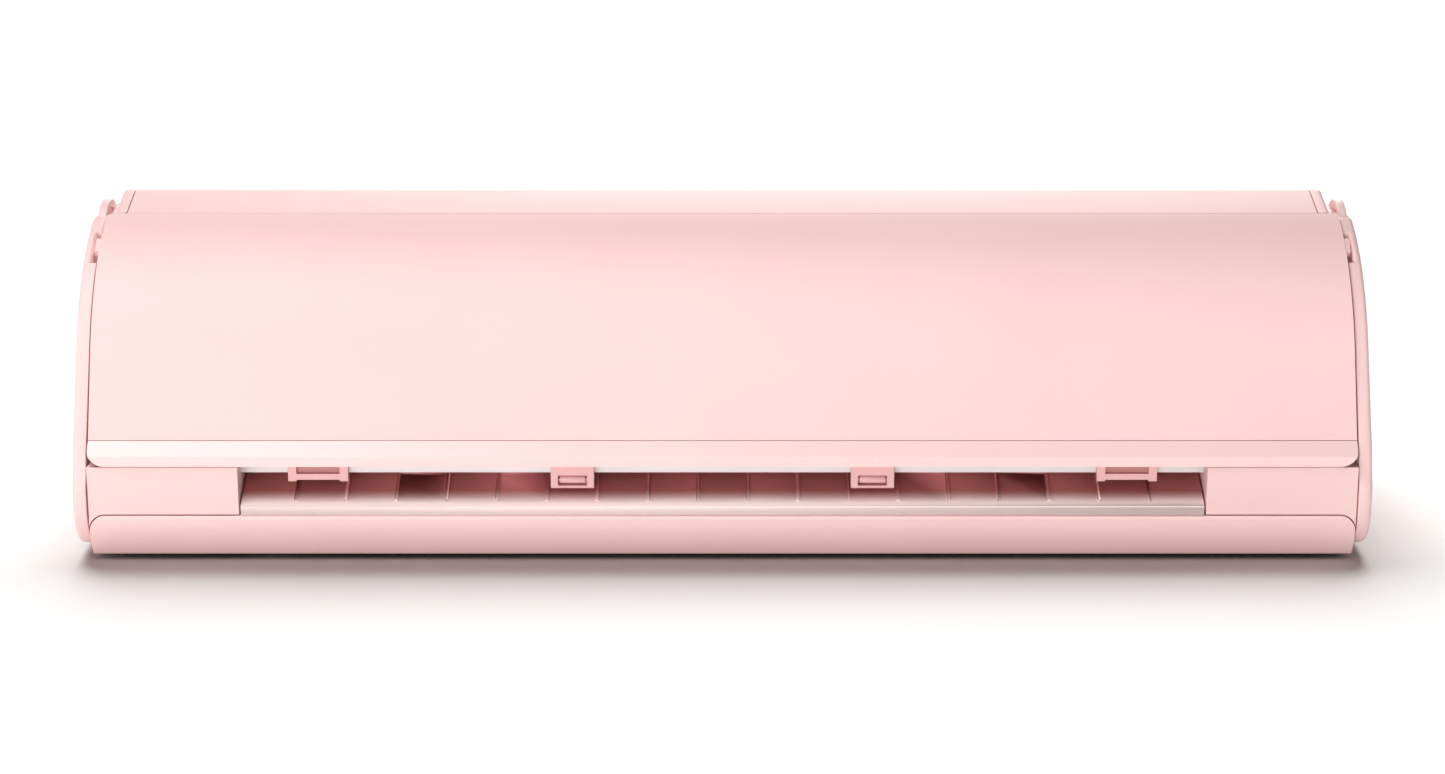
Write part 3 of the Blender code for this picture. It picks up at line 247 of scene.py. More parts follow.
def grit_bands():
    # Steel bar with blasted grit bands: bright turned metal between, grey sandpaper tooth on
    # the bands. The tooth is 0.1 mm on the real roller and is drawn at 0.5 mm so that it shows.
    material, shader = new_finish("grit_steel", "9A9A98", 0.55, 1.0)
    grit = add_node(material, "ShaderNodeTexVoronoi", {"Scale": 1 / (0.5 * MM)},
                    {"Vector": object_place(material)})
    vary(material, shader, grit.outputs["Distance"], "70706E", "A8A8A6")
    roughen(material, shader, grit.outputs["Distance"], 0.42, 0.7, 0.08, 0.8)
    return material


def moulded_plastic(name, shade, other_shade, shine, grain_mm=0.8, relief=0.12):
    # Injection-moulded plastic off a finely spark-eroded tool: a soft satin glow with a close
    # pebble grain. The real grain is about 0.2 mm; it is drawn coarser so that it shows.
    # A slow drift between two shades is the flow of the melt.
    material, shader = new_finish(name, shade, shine, Coat_Weight=0.0)
    place = object_place(material)
    grain = add_node(material, "ShaderNodeTexNoise", {"Scale": 1 / (grain_mm * MM), "Detail": 3.0},
                     {"Vector": place})
    flow = add_node(material, "ShaderNodeTexNoise", {"Scale": 1 / (90 * MM), "Detail": 2.0},
                    {"Vector": place})
    vary(material, shader, flow.outputs["Fac"], shade, other_shade)
    roughen(material, shader, grain.outputs["Fac"], shine - 0.05, shine + 0.05, 0.03, relief)
    return material


def rolled_motor_can():
    # Rolled and lacquered steel can: darker than the plated frame, brushed round the can.
    material, shader = new_finish("motor_can_steel", "7F8285", 0.38, 1.0)
    rings = add_node(material, "ShaderNodeTexNoise", {"Scale": 1 / (4 * MM), "Detail": 4.0},
                     {"Vector": object_place(material, (12.0, 1.0, 1.0))})
    vary(material, shader, rings.outputs["Fac"], "74777A", "8B8E91")
    roughen(material, shader, rings.outputs["Fac"], 0.30, 0.46, 0.02, 0.3)
    return material


GRIT = grit_bands()
ACETAL = moulded_plastic("acetal", "EEECE4", "E8E6DD", 0.35)
MOTOR = rolled_motor_can()
finish_node("feed_roller", GRIT, 0.3)
finish_node("feed_gear", ACETAL, 0.12)
finish_node("motor_pinion", ACETAL, 0.12)
finish_node("feed_motor", MOTOR, 0.5)
finish_node("carriage_motor", MOTOR, 0.4)

# ---------------------------------------------------------------- Media tray
# One long moulding in the slot: its front lip stands just behind the drawer's top, and a
# hollow ribbed slope leads the sheet up to the feed roller. The ribs stand 25.4 mm apart.
FRONT = -100.0
TRAY_HALF = 243.3
TRAY_RAMP = [(-99.4, 25.3), (-99.4, 30.2, 0.9), (-96.0, 31.8), (-69.3, 43.0, 40.0)]
TRAY_RAMP += [(-57.7, 43.0, 1.5), (-57.7, 30.0)]
TRAY_WALL = 2.2
RIB_COUNT = 18
RIB_PITCH = 25.4
RIB_WIDTH = 1.6
RIB_HEIGHT = 0.9
ARC_STEPS = 10


def arc(centre, radius, start, end, steps):
    points = []
    for step in range(steps + 1):
        angle = math.radians(start + (end - start) * step / steps)
        points.append((centre[0] + radius * math.cos(angle), centre[1] + radius * math.sin(angle)))
    return points


def rounded(points, closed=True, steps=ARC_STEPS):
    """A polygon or an open path; a point's third number is the radius that rounds it."""
    path = []
    count = len(points)
    for index, point in enumerate(points):
        if len(point) == 2 or (not closed and index in (0, count - 1)):
            path.append(tuple(point[:2]))
            continue
        corner = Vector(point[:2])
        before = (Vector(points[index - 1][:2]) - corner).normalized()
        after = (Vector(points[(index + 1) % count][:2]) - corner).normalized()
        half = before.angle(after) / 2
        centre = corner + (before + after).normalized() * point[2] / math.sin(half)
        reach = point[2] / math.tan(half)
        first = corner + before * reach - centre
        last = corner + after * reach - centre
        start = math.degrees(math.atan2(first.y, first.x))
        sweep = (math.degrees(math.atan2(last.y, last.x)) - start + 180) % 360 - 180
        path += arc(centre, point[2], start, start + sweep, steps)
    return path


def inset(path, distance, closed=False):
    """A path moved to its right, with its corners kept sharp."""
    moved = []
    count = len(path)
    for index, point in enumerate(path):
        normals = []
        for start, end in ((index - 1, index), (index, index + 1)):
            if not closed and (start < 0 or end >= count):
                continue
            along = (Vector(path[end % count]) - Vector(path[start % count])).normalized()
            normals.append(Vector((along.y, -along.x)))
        middle = sum(normals, Vector((0, 0))).normalized()
        moved.append(tuple(Vector(point) + middle * distance / middle.dot(normals[0])))
    return moved


def wall(points, thickness):
    """The closed outline of a wall whose outer face follows the points."""
    inner = []
    for point, corner in zip(points, inset([point[:2] for point in points], thickness)):
        radius = point[2] - thickness if len(point) == 3 else 0
        inner.append((*corner, radius) if radius > 0 else corner)
    return rounded(points, closed=False) + rounded(inner, closed=False)[::-1]


def as_object(name, mesh):
    bmesh.ops.recalc_face_normals(mesh, faces=mesh.faces)
    data = bpy.data.meshes.new(name)
    mesh.to_mesh(data)
    mesh.free()
    data.shade_smooth()
    piece = bpy.data.objects.new(name, data)
    bpy.context.scene.collection.objects.link(piece)
    return piece


def spot(axis, along, point):
    """A point in space from a place along one axis and the other two in rising order."""
    place = list(point)
    place.insert("XYZ".index(axis), along)
    return Vector(place) * MM


def drawn(name, axis, outline, low, high):
    """A flat outline across one axis, drawn out along it from low to high."""
    mesh = bmesh.new()
    rings = [[mesh.verts.new(spot(axis, place, point)) for point in outline] for place in (low, high)]
    for index in range(len(outline)):
        after = (index + 1) % len(outline)
        mesh.faces.new((rings[0][index], rings[0][after], rings[1][after], rings[1][index]))
    for ring in rings:
        mesh.faces.new(ring)
    return as_object(name, mesh)


def bar(name, low, high):
    outline = [(low[0], low[1]), (high[0], low[1]), (high[0], high[1]), (low[0], high[1])]
    return drawn(name, "Z", outline, low[2], high[2])


def shaped(piece, operation, tools, solver="EXACT"):
    """Cuts the tools out of a piece, or joins them to it, and clears them away."""
    for tool in tools:
        step = piece.modifiers.new(tool.name, "BOOLEAN")
        step.operation = operation
        step.solver = solver
        step.object = tool
    result = piece.evaluated_get(bpy.context.evaluated_depsgraph_get())
    piece.data = bpy.data.meshes.new_from_object(result)
    piece.modifiers.clear()
    piece.data.polygons.foreach_set("material_index", [0] * len(piece.data.polygons))
    for tool in tools:
        bpy.data.objects.remove(tool)


def cut(piece, *tools):
    shaped(piece, "DIFFERENCE", tools)


def join(piece, *tools):
    shaped(piece, "UNION", tools)


def fit(piece, material, body, slot, *nodes):
    """Gives a new piece its finish and its place among the frame's bodies."""
    piece.data.materials.clear()
    piece.data.materials.append(material)
    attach(piece, body)
    if nodes:
        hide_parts(*nodes)


def sides(outer, inner):
    """Two places counted out from the middle, in rising order, on the left and the right."""
    return (("left", -1, -outer, -inner), ("right", 1, inner, outer))


def painted_slot_shading(name, near, far, shine, start, end):
    # The same moulded plastic, painted paler at the front and deeper behind. The real plastic is
    # one colour: the deeper shade is painted shade for the shadow inside the slot, and a front
    # shade paler than the plastic is painted light. Places are in mm.
    material = moulded_plastic(name, near, near, shine)
    shader = material.node_tree.nodes["Principled BSDF"]
    place = add_node(material, "ShaderNodeSeparateXYZ", None, {"Vector": object_place(material)})
    depth = add_node(material, "ShaderNodeMapRange", {"From Min": start * MM, "From Max": end * MM},
                     {"Value": place.outputs["Y"]})
    vary(material, shader, depth.outputs["Result"], near, far)
    return material


ROSE = moulded_plastic("rose_abs", "F3C1C0", "F1BCBB", 0.46)
# Painted light and shade: the tray's front lip is painted paler than the rose plastic and its slope deeper
# rose toward the back, for the light on the lip and the shadow in the slot.
TRAY_ROSE = painted_slot_shading("tray_abs", "FEE6E3", "CF7B7A", 0.46, -101.0, -83.0)
tray = drawn("media_slope", "X", wall(TRAY_RAMP, TRAY_WALL), -TRAY_HALF, TRAY_HALF)
slope = rounded(TRAY_RAMP[2:4] + [(-60.0, 43.0)], closed=False)
rib_side = inset(slope, -RIB_HEIGHT) + inset(slope, RIB_HEIGHT)[::-1]
ribs = []
for index in range(RIB_COUNT):
    middle = (index - (RIB_COUNT - 1) / 2) * RIB_PITCH
    ribs.append(drawn("rib_%d" % index, "X", rib_side, middle - RIB_WIDTH / 2, middle + RIB_WIDTH / 2))
join(tray, *ribs)
soften(tray, 0.35)
fit(tray, TRAY_ROSE, "machine", "rose_abs", "media_tray")

# ---------------------------------------------------------------- Platen and cutting strip
# A grey moulded plate carries the sheet behind the roller. A dark PTFE-faced strip lies in
# its groove under the blade's path, so that the tip doesn't wear the plate.


def woven_strip():
    # PTFE-coated glass cloth: a dark, slightly waxy strip; the weave shows as faint squares.
    # The thread spacing is 0.4 mm and is drawn at 1 mm.
    material, shader = new_finish("ptfe_strip", "47474A", 0.5)
    settings = {"Scale": 1 / (2 * MM), "Color1": linear("4A4A4D"), "Color2": linear("424245"),
                "Mortar": linear("38383A")}
    weave = add_node(material, "ShaderNodeTexBrick", settings, {"Vector": object_place(material)})
    material.node_tree.links.new(weave.outputs["Color"], shader.inputs["Base Color"])
    roughen(material, shader, weave.outputs["Fac"], 0.42, 0.58, 0.03, 0.4)
    return material


GREY = moulded_plastic("grey_abs", "8C8B8B", "868585", 0.5, 1.0, 0.2)
finish_node("platen", GREY, 0.4)
finish_node("cutting_strip", woven_strip(), 0.15)

# ---------------------------------------------------------------- Roller beam
# The off-white beam behind the lid's lip spans the slot; the pinch brackets hang over it
# and slide along it.
WHITE = moulded_plastic("off_white_abs", "F8F4F2", "F4F0EE", 0.45)
finish_node("roller_beam", WHITE, 0.5)

# ---------------------------------------------------------------- Centre guide blocks
# Two fixed blocks on the beam keep the sheet down in the middle. Each has a wide notch at
# its foot with a small nose roller on a moulded pin.
BEAM = -85.5
BLOCK_PLACE = 76.0
BLOCK_HALF = 11.0
BLOCK_FACE = -91.5
BLOCK_TOP = 59.3
NOSE = (-88.9, 41.2)
NOTCH_HALF = 7.3
BLOCK_OUTLINE = [(BLOCK_FACE, 36.5, 1.2), (-86.2, 38.3), (-85.8, 43.2), (-85.8, 56.3), (-65.7, 56.3)]
BLOCK_OUTLINE += [(-65.7, 51.0), (-62.5, 51.0), (-62.5, BLOCK_TOP, 2.0), (BLOCK_FACE, BLOCK_TOP, 3.0)]

for side, sign in (("left", -1), ("right", 1)):
    middle = sign * BLOCK_PLACE
    low, high = middle - BLOCK_HALF, middle + BLOCK_HALF
    guide = drawn("guide_block_" + side, "X", rounded(BLOCK_OUTLINE), low, high)
    notch = bar("notch", (middle - NOTCH_HALF, BLOCK_FACE - 1, NOSE[1] - 2.6),
                (middle + NOTCH_HALF, BEAM - 0.9, NOSE[1] + 2.6))
    cut(guide, notch)
    pin = drawn("pin", "X", arc(NOSE, 0.7, 0, 345, 23), middle - NOTCH_HALF - 1, middle + NOTCH_HALF + 1)
    join(guide, pin)
    soften(guide, 0.55)
    fit(guide, ROSE, "machine", "rose_abs", "center_block_" + side)
    finish_node("nose_roller_" + side, ROSE, 0.2)

# ---------------------------------------------------------------- Pinch brackets and rollers
# Frames that hang over the beam, one near each end of the slot, with a shallow window in the
# face. Behind, two cheeks carry the rubber pinch roller on a moulded axle.
BRACKET_PLACE = 205.0
BRACKET_HALF = 15.25
BRACKET_FACE = -89.3
BRACKET_TOP = 59.4
PINCH = (-50.0, 48.8)
POST = 4.3
WINDOW_LOW = 44.2
WINDOW_HIGH = 51.0
WINDOW_DEPTH = 2.2
HOOK = [(BRACKET_FACE, 40.0, 0.8), (-85.9, 40.0), (-85.9, 56.4), (-65.5, 56.4), (-65.5, 52.3), (-58.5, 45.8)]
HOOK += [(-47.4, 45.8, 1.5), (-45.5, 51.8, 2.0), (-49.0, BRACKET_TOP, 3.0), (BRACKET_FACE, BRACKET_TOP, 3.0)]

# Painted shade: each bracket deepens from its face back into the window recess and stays deep over its top,
# for the shade in the recess and under the lid's lip.
BRACKET_ROSE = painted_slot_shading("bracket_abs", "F4C0BF", "C88886", 0.46, -90.0, -86.5)
PINCH_RUBBER = moulded_rubber("pinch_rubber", "303031", 0.7)
for side, sign in (("left", -1), ("right", 1)):
    middle = sign * BRACKET_PLACE
    low = middle - BRACKET_HALF
    high = middle + BRACKET_HALF
    bracket = drawn("bracket_" + side, "X", rounded(HOOK), low, high)
    window = bar("window", (low + POST, BRACKET_FACE - 1, WINDOW_LOW),
                 (high - POST, BRACKET_FACE + WINDOW_DEPTH, WINDOW_HIGH))
    foot_gap = bar("foot_gap", (low + POST, BRACKET_FACE - 1, 39.0), (high - POST, BEAM + 1, 41.0))
    roller_gap = bar("roller_gap", (low + POST, PINCH[0] - 8, 40.0), (high - POST, PINCH[0] + 8, 54.4))
    cut(bracket, window, foot_gap, roller_gap)
    join(bracket, drawn("axle", "X", arc(PINCH, 1.5, 0, 345, 23), low + 3, high - 3))
    soften(bracket, 0.5)
    fit(bracket, BRACKET_ROSE, "pinch_frame_" + side, "rose_abs", "pinch_bracket_" + side)
    finish_node("pinch_roller_" + side, PINCH_RUBBER, 0.25)

# ---------------------------------------------------------------- Rail, carriage and tools
# The carriage rides on an anodised aluminium extrusion, drawn by a toothed belt. Each tool
# holder slides down its face on a spring; a flap at its front locks the tool in its socket.


def anodised():
    # Anodised aluminium extrusion: pale satin metal with fine die lines along its length.
    material, shader = new_finish("anodised_aluminium", "C6C9CC", 0.32, 1.0)
    lines = add_node(material, "ShaderNodeTexNoise", {"Scale": 1 / (1.5 * MM), "Detail": 4.0},
                     {"Vector": object_place(material, (0.02, 1.0, 1.0))})
    vary(material, shader, lines.outputs["Fac"], "BEC1C4", "CDD0D2")
    roughen(material, shader, lines.outputs["Fac"], 0.25, 0.38, 0.03, 0.4)
    return material


CHARCOAL = moulded_plastic("charcoal_abs", "37373A", "333336", 0.42, 0.9, 0.2)
finish_node("carriage_rail", anodised(), 0.25)
finish_node("carriage", WHITE, 0.8)
for number in ("1", "2"):
    finish_node("tool_holder_" + number, GREY, 0.4)
    finish_node("tool_lock_" + number, CHARCOAL, 0.4)
finish_node("blade_tool", CHARCOAL, 0.3)
finish_node("idler_pulley", ZINC, 0.3)
finish_node("drive_pulley", ZINC, 0.3)
finish_node("drive_belt", RUBBER, 0.15)

# ---------------------------------------------------------------- Side covers
# Thick moulded end plates that the lid closes against. Each has a broad rounded rim, swells
# forward at its foot, and carries a round ear for the lid's hinge, with a rim of its own.
COVER_IN = 321.0
COVER_OUT = 328.0
LID_CENTRE = (20.868, 65.472)
LID_RADIUS = 104.0
CREASE = (-92.5, 62.5)
LID_LOW_ANGLE = 158.0
LID_HIGH_ANGLE = 110.0
LID_STEPS = 56
RIM = 2.6
EAR = (3.0, 146.5)
EAR_RADIUS = 20.5
EAR_OUT = 325.8
SHOULDER_BACK = 12
TAIL_BACK = 30
PIVOT = (7.0, 158.0)
PIVOT_BORE = 3.4
REAR_FACE = 96.0
RIDGE = 14.4
RIDGE_TOP = 170.0
REAR_FALL = 25
REAR_ROUND = 20
STRIP_FRONT = -13.8


def lid_face():
    return [CREASE] + arc(LID_CENTRE, LID_RADIUS, LID_LOW_ANGLE, LID_HIGH_ANGLE, LID_STEPS)


def rear_face(corner=1.0):
    """The rear cover's outer face: up the strip's front wall, over the ridge and down the back."""
    fall = math.radians(REAR_FALL)
    touch = REAR_FACE - REAR_ROUND + REAR_ROUND * math.sin(fall)
    drop = (touch - RIDGE) * math.tan(fall)
    centre = (REAR_FACE - REAR_ROUND, RIDGE_TOP - drop - REAR_ROUND * math.cos(fall))
    strip = [(STRIP_FRONT, 150.0), (STRIP_FRONT, 163.0, corner), (RIDGE, 170.32, 5.0)]
    strip += [(touch, RIDGE_TOP - drop)]
    curve = arc(centre, REAR_ROUND, 90 - REAR_FALL, 0, 16)
    return rounded(strip, closed=False)[:-1] + curve + [(REAR_FACE, 5.8)]


def dished(name, outline, low, high, low_edge, high_edge, steps=5):
    """A plate across X whose two rims are rounded by their own radii; the outline runs clockwise."""
    mesh = bmesh.new()
    rings = []
    for place, edge, away in ((low, low_edge, 1), (high, high_edge, -1)):
        turns = range(steps + 1) if away > 0 else range(steps, -1, -1)
        for turn in turns:
            angle = math.radians(90 * turn / steps)
            path = inset(outline, edge * (1 - math.sin(angle)), closed=True)
            along = place + away * edge * (1 - math.cos(angle))
            rings.append([mesh.verts.new(spot("X", along, point)) for point in path])
    for lower, upper in zip(rings, rings[1:]):
        for index in range(len(outline)):
            after = (index + 1) % len(outline)
            mesh.faces.new((lower[index], lower[after], upper[after], upper[index]))
    mesh.faces.new(rings[0])
    mesh.faces.new(rings[-1])
    return as_object(name, mesh)


def cover_outline():
    """Up the front, back along the lid's slope, over the shoulder and down the rear."""
    slope = inset(lid_face(), 2.55)
    front = [(FRONT + 40, 5.5), (FRONT, 5.5, 22.0), (FRONT, 40.0, 8.0), (FRONT + 2.6, 45.7, 6.0)]
    front += [(FRONT + 5.7, 57.3)]
    shoulder = (EAR[0] + SHOULDER_BACK, slope[-1][1] - 0.5)
    tail = [point for point in inset(rear_face(), 2.5) if point[0] > EAR[0] + TAIL_BACK]
    low = rounded(front, closed=False)
    heel = rounded([tail[-2], (tail[-1][0], 5.5, 6.0), (FRONT + 60, 5.5)], closed=False)
    return low + slope[1:] + [shoulder] + tail[:-1] + heel[1:]


PINK = moulded_plastic("pink_abs", "F8D3D1", "F6D0CE", 0.55)
for side, sign, low, high in sides(COVER_OUT, COVER_IN):
    edges = (RIM, 0.5) if sign < 0 else (0.5, RIM)
    cover = dished("side_plate_" + side, cover_outline(), low, high, *edges)
    ear_low, ear_high = sorted((sign * (COVER_IN + 0.3), sign * EAR_OUT))
    edges = (1.3, 0.5) if sign < 0 else (0.5, 1.3)
    ear_ring = arc(EAR, EAR_RADIUS, 360, 5, 71)
    join(cover, dished("ear", ear_ring, ear_low, ear_high, *edges))
    notch_faces = [inset(lid_face(), -1.0), inset(lid_face(), 8.0)]
    keep = [place for place, point in enumerate(lid_face()) if 145.0 < point[1] < 158.0]
    outline = [notch_faces[0][place] for place in keep] + [notch_faces[1][place] for place in keep][::-1]
    near, far = sorted((sign * (COVER_IN - 1), sign * (COVER_IN + 3)))
    cut(cover, drawn("tab_notch", "X", outline, near, far))
    cut(cover, drawn("pivot_bore", "X", arc(PIVOT, PIVOT_BORE, 0, 345, 23), near, far))
    fit(cover, PINK, "machine", "pink_abs", "side_cover_" + side)

# ---------------------------------------------------------------- Rear cover and its end caps
# One long moulding runs from the strip behind the lid over the ridge and down the back,
# with the media exit and the cross cutter's slot in it. Separate caps close its ends.
REAR_HALF = 310.0
REAR_WALL = 2.5
CAP_IN = 310.5
CAP_OUT = 316.4
FLANGE_START = 63.0
REAR_POINTS = rear_face()


def rear_wall():
    """The rear cover in section: the outer face and a wall inside it."""
    inner = inset(REAR_POINTS, REAR_WALL)
    keep = [point for place, point in enumerate(inner) if is_clear(point, REAR_POINTS, REAR_WALL)]
    return REAR_POINTS + keep[::-1]


def is_clear(point, path, distance):
    """True if a moved point is a whole wall away from every corner of its path."""
    return min((Vector(point) - Vector(corner)).length for corner in path) > distance - 0.02


rear = drawn("rear_shell", "X", rear_wall(), -REAR_HALF, REAR_HALF)
openings = (((-240.3, 38.0), (240.3, 50.0)), ((-236.3, 54.0), (236.3, 59.0)),
            ((290.0, 15.9), (302.0, 28.3)), ((266.0, 15.9), (278.0, 22.3)))
cutters = []
for number, (low, high) in enumerate(openings):
    cutters.append(bar("opening_%d" % number, (low[0], 91.0, low[1]), (high[0], 102.0, high[1])))
cut(rear, *cutters)
soften(rear, 0.5)
fit(rear, PINK, "machine", "pink_abs", "rear_cover")

cap_outline = rear_face(2.4) + [(STRIP_FRONT, 5.8)]
fall = math.tan(math.radians(REAR_FALL))
flange = [(FLANGE_START, RIDGE_TOP - (FLANGE_START - RIDGE) * fall)]
flange += [point for point in REAR_POINTS[:-1] if point[0] > FLANGE_START]
flange += [(REAR_FACE, 13.8), (FLANGE_START, 13.8)]
for side, sign, low, high in sides(CAP_OUT, CAP_IN):
    edges = (2.2, 0.5) if sign < 0 else (0.5, 2.2)
    cap = dished("rear_end_" + side, cap_outline, low, high, *edges)
    near, far = sorted((sign * (CAP_OUT - 3), sign * 320.6))
    edges = (0.4, 0.4)
    join(cap, dished("flange", flange, near, far, *edges))
    fit(cap, PINK, "machine", "pink_abs", "rear_cap_" + side)

finish_node("cross_cutter", ROSE, 0.6)
finish_node("power_inlet", CHARCOAL, 0.25)
finish_node("usb_port", CHARCOAL, 0.25)

# ---------------------------------------------------------------- Fascias
# Hollow front mouldings that close the slot's two ends. Their lower outer corners are
# scooped to clear the drawer's rounded corners.
FASCIA_IN = 244.3
FASCIA_OUT = 320.3
FASCIA_NEAR = -99.0
FASCIA_FAR = -87.0
FASCIA_TOP = 50.4
FASCIA_WALL = 2.5
JAMB_REAR = -57.7
JAMB_TOP = 43.4
DRAWER_TOP = 25.0
ROOM_FLOOR = DRAWER_TOP + 3.1
CORNER = 8.0
CORNER_PLAY = 0.6
LID_HALF = 320.0

for side, sign in (("left", -1), ("right", 1)):
    hollow = CORNER + CORNER_PLAY
    centre = (sign * (LID_HALF - CORNER), DRAWER_TOP - CORNER)
    sweep = math.degrees(math.asin((FASCIA_OUT - LID_HALF + CORNER) / hollow))
    scoop = arc(centre, hollow, 90, 90 - sign * sweep, ARC_STEPS)
    outline = [(sign * FASCIA_IN, scoop[0][1])] + scoop
    outline += [(sign * FASCIA_OUT, FASCIA_TOP), (sign * FASCIA_IN, FASCIA_TOP)]
    fascia = drawn("fascia_panel_" + side, "Y", outline, FASCIA_NEAR, FASCIA_FAR)
    low, high = sorted((sign * (FASCIA_IN + FASCIA_WALL), sign * (FASCIA_OUT - FASCIA_WALL)))
    room_low = (low, FASCIA_NEAR + FASCIA_WALL, ROOM_FLOOR)
    cut(fascia, bar("room", room_low, (high, FASCIA_FAR + 1, FASCIA_TOP - FASCIA_WALL)))
    low, high = sorted((sign * FASCIA_IN, sign * (FASCIA_IN + FASCIA_WALL)))
    join(fascia, bar("jamb", (low, FASCIA_FAR - 1, ROOM_FLOOR), (high, JAMB_REAR, JAMB_TOP)))
    soften(fascia, 0.7)
    fit(fascia, PINK, "machine", "pink_abs", "fascia_" + side)

# ---------------------------------------------------------------- End housings and controls
# Pale housings flank the carriage bay under the lid. The right one has a dark glass touch
# panel and a sprung power button.


def panel_glass():
    # Hard-coated acrylic over a black print: nearly a mirror, with only the haze that wiping
    # leaves.
    material, shader = new_finish("touch_glass", "0E0F12", 0.08, Coat_Weight=0.6, Coat_Roughness=0.04)
    haze = add_node(material, "ShaderNodeTexNoise", {"Scale": 1 / (12 * MM), "Detail": 4.0},
                    {"Vector": object_place(material)})
    roughen(material, shader, haze.outputs["Fac"], 0.05, 0.14, 0.002, 0.1)
    return material


PALE = moulded_plastic("pale_pink_abs", "F9D8D6", "F8D5D3", 0.34)
for side in ("left", "right"):
    finish_node("end_housing_" + side, PALE, 0.6)
finish_node("touch_panel", panel_glass(), 0.5)
finish_node("power_button", ROSE, 0.4)

# ---------------------------------------------------------------- Lid
# A single curved moulding from the crease to the rear strip, hinged in the ears. A paler
# band is clipped along its lower edge; the band's lower corners are broadly rounded, and
# two hairline joints cross it.
LID_REAR = lid_face()[-1]
LID_WALL = 2.5
LIP_LOW = 51.0
LIP_ROUND = 9.0
HAIRLINE = 0.35

outer = lid_face()
along = (Vector(outer[1]) - Vector(outer[0])).normalized()
start = tuple(Vector(CREASE) + along * 0.3)
under = [point for point in inset([start] + outer[1:], LID_WALL) if point[0] < LID_REAR[0] - 1]
reach = LID_REAR[0] - LID_CENTRE[0]
rear_under = LID_CENTRE[1] + math.sqrt((LID_RADIUS - LID_WALL) ** 2 - reach ** 2)
outline = [start] + outer[1:] + [(LID_REAR[0], rear_under)] + under[::-1]
shell = drawn("lid_top", "X", outline, -LID_HALF, LID_HALF)
for sign in (-1, 1):
    corner = (sign * (LID_HALF - 3.0), LID_REAR[0] - 3.0)
    sweep = arc(corner, 3.0, 90, 90 - sign * 90, ARC_STEPS)
    clear = sweep + [(sign * (LID_HALF + 1), corner[1]), (sign * (LID_HALF + 1), LID_REAR[0] + 1)]
    clear += [(sweep[0][0], LID_REAR[0] + 1)]
    cut(shell, drawn("corner", "Z", clear, 150.0, 170.0))
band = inset(outer, 0.8)
deep = inset(outer, 4.5)
keep = [place for place, point in enumerate(outer) if 149.0 < point[1] < 155.0]
tab = [band[keep[0]], band[keep[-1]], deep[keep[-1]], deep[keep[0]]]
for side, sign, low, high in sides(LID_HALF + 2.5, LID_HALF - 0.8):
    shaped(shell, "UNION", [drawn("tab_" + side, "X", tab, low, high)], "MANIFOLD")
soften(shell, 0.7)
fit(shell, PINK, "lid", "pink_abs", "lid_shell")

lip_points = [(FRONT, LIP_LOW), (FRONT, 56.1, 1.2), CREASE]
lip = drawn("lid_band", "X", wall(lip_points, LID_WALL), -LID_HALF, LID_HALF)
for sign in (-1, 1):
    centre = (sign * (LID_HALF - LIP_ROUND), LIP_LOW + LIP_ROUND)
    sweep = arc(centre, LIP_ROUND, 270, 270 + sign * 90, ARC_STEPS)
    clear = sweep + [(sign * (LID_HALF + 1), centre[1]), (sign * (LID_HALF + 1), LIP_LOW - 1)]
    clear += [(sweep[0][0], LIP_LOW - 1)]
    cut(lip, drawn("corner", "Y", clear, FRONT - 1, FRONT + 20))
for sign in (-1, 1):
    top = sign * BLOCK_PLACE + 1.5
    foot = sign * BLOCK_PLACE - 1.0
    joint = [(foot, 50.0), (foot + HAIRLINE, 50.0), (top + HAIRLINE, 64.0), (top, 64.0)]
    cut(lip, drawn("joint", "Y", joint, FRONT - 1, FRONT + 0.25))
soften(lip, 0.5)
fit(lip, PALE, "lid", "pale_pink_abs", "lid_lip")
for side in ("left", "right"):
    finish_node("lid_arm_" + side, PINK, 0.5)

# ---------------------------------------------------------------- Drawer with the roll supports
# The curved bottom panel is the front of a pull-out drawer. Two arms with small wheels fold
# up from its tray to carry a roll of vinyl.
DRAWER_RADIUS = 28.0
DRAWER_CENTRE = (-72.0, DRAWER_TOP - 3.4)
DRAWER_WALL = 2.5

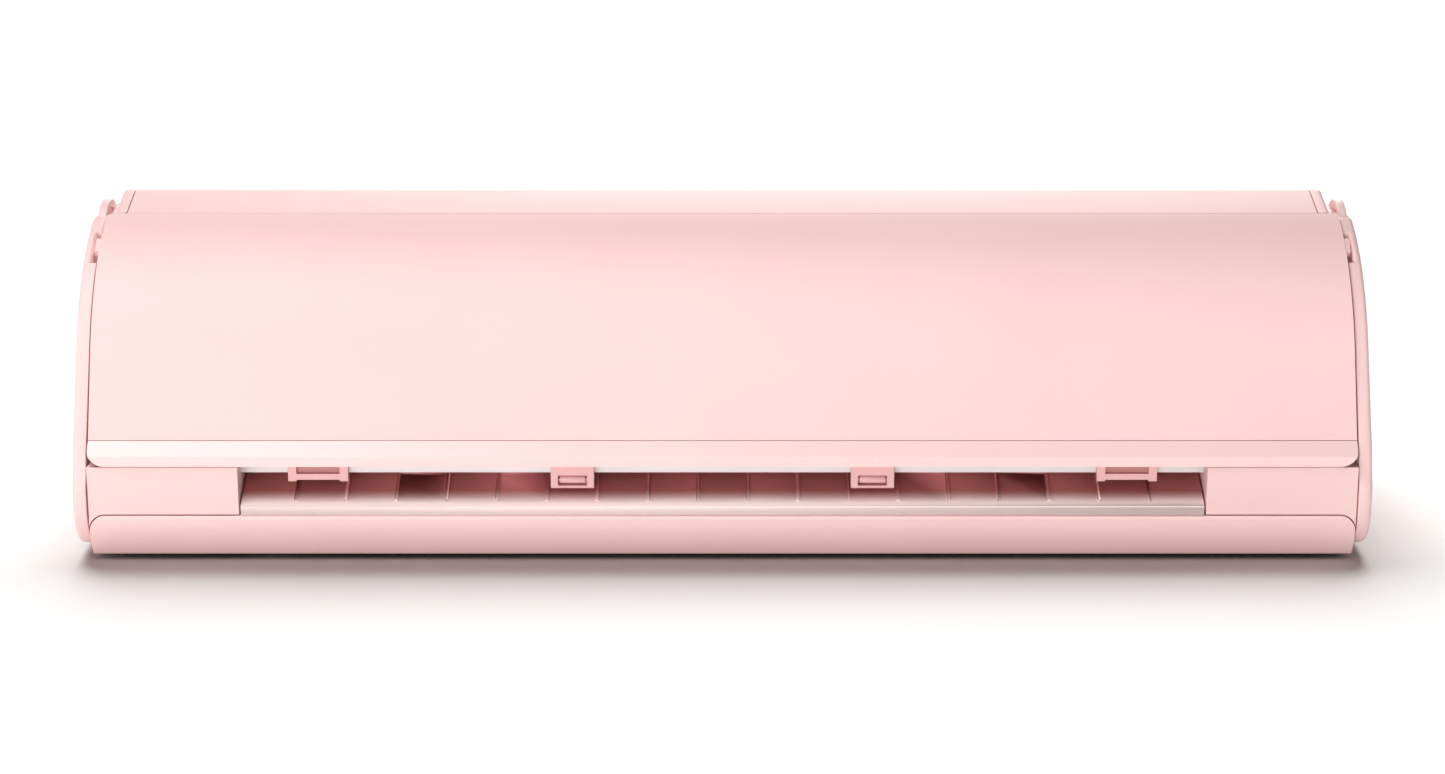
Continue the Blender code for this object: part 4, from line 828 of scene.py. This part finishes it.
end = 180 + math.degrees(math.asin((DRAWER_CENTRE[1] - 3.0) / DRAWER_RADIUS))
face = arc(DRAWER_CENTRE, DRAWER_RADIUS, end, 180, 24)
face += [(FRONT, DRAWER_TOP, 1.8), (FRONT + 5, DRAWER_TOP)]
outline = rounded(face + [(-89.0, 14.0), (-89.0, face[0][1])])
panel = drawn("drawer_panel", "X", outline, -LID_HALF, LID_HALF)
inner = inset([point[:2] for point in face], DRAWER_WALL)
room = [(inner[0][0], 0)] + inner + [(-88.0, inner[-1][1]), (-88.0, 0)]
cut(panel, drawn("room", "X", room, DRAWER_WALL - LID_HALF, LID_HALF - DRAWER_WALL))
for sign in (-1, 1):
    centre = (sign * (LID_HALF - CORNER), DRAWER_TOP - CORNER)
    sweep = arc(centre, CORNER, 90, 90 - sign * 90, ARC_STEPS)
    clear = sweep + [(sign * (LID_HALF + 1), centre[1]), (sign * (LID_HALF + 1), DRAWER_TOP + 1)]
    clear += [(sweep[0][0], DRAWER_TOP + 1)]
    cut(panel, drawn("corner", "Y", clear, FRONT - 1, FRONT + 13))
soften(panel, 0.7)
fit(panel, PINK, "drawer", "pink_abs", "drawer_front")
finish_node("drawer_tray", GREY, 0.3)
for side in ("left", "right"):
    finish_node("roll_support_" + side, GREY, 0.4)
    finish_node("support_wheel_" + side, WHITE, 0.2)

# ---------------------------------------------------------------- Main board
# The drive electronics: a green printed board on four posts at the right rear corner.


def solder_mask():
    # Green solder mask over copper: a glossy lacquer, with tracks as slightly lighter lines.
    material, shader = new_finish("solder_mask", "2C6A3C", 0.3)
    tracks = add_node(material, "ShaderNodeTexBrick", {"Scale": 1 / (6 * MM), "Color1": linear("2B6639"),
                      "Color2": linear("2F7042"), "Mortar": linear("4F9260"), "Mortar Size": 0.03},
                      {"Vector": object_place(material)})
    material.node_tree.links.new(tracks.outputs["Color"], shader.inputs["Base Color"])
    roughen(material, shader, tracks.outputs["Fac"], 0.26, 0.36, 0.03, 0.3)
    return material


finish_node("main_board", solder_mask(), 0.15)
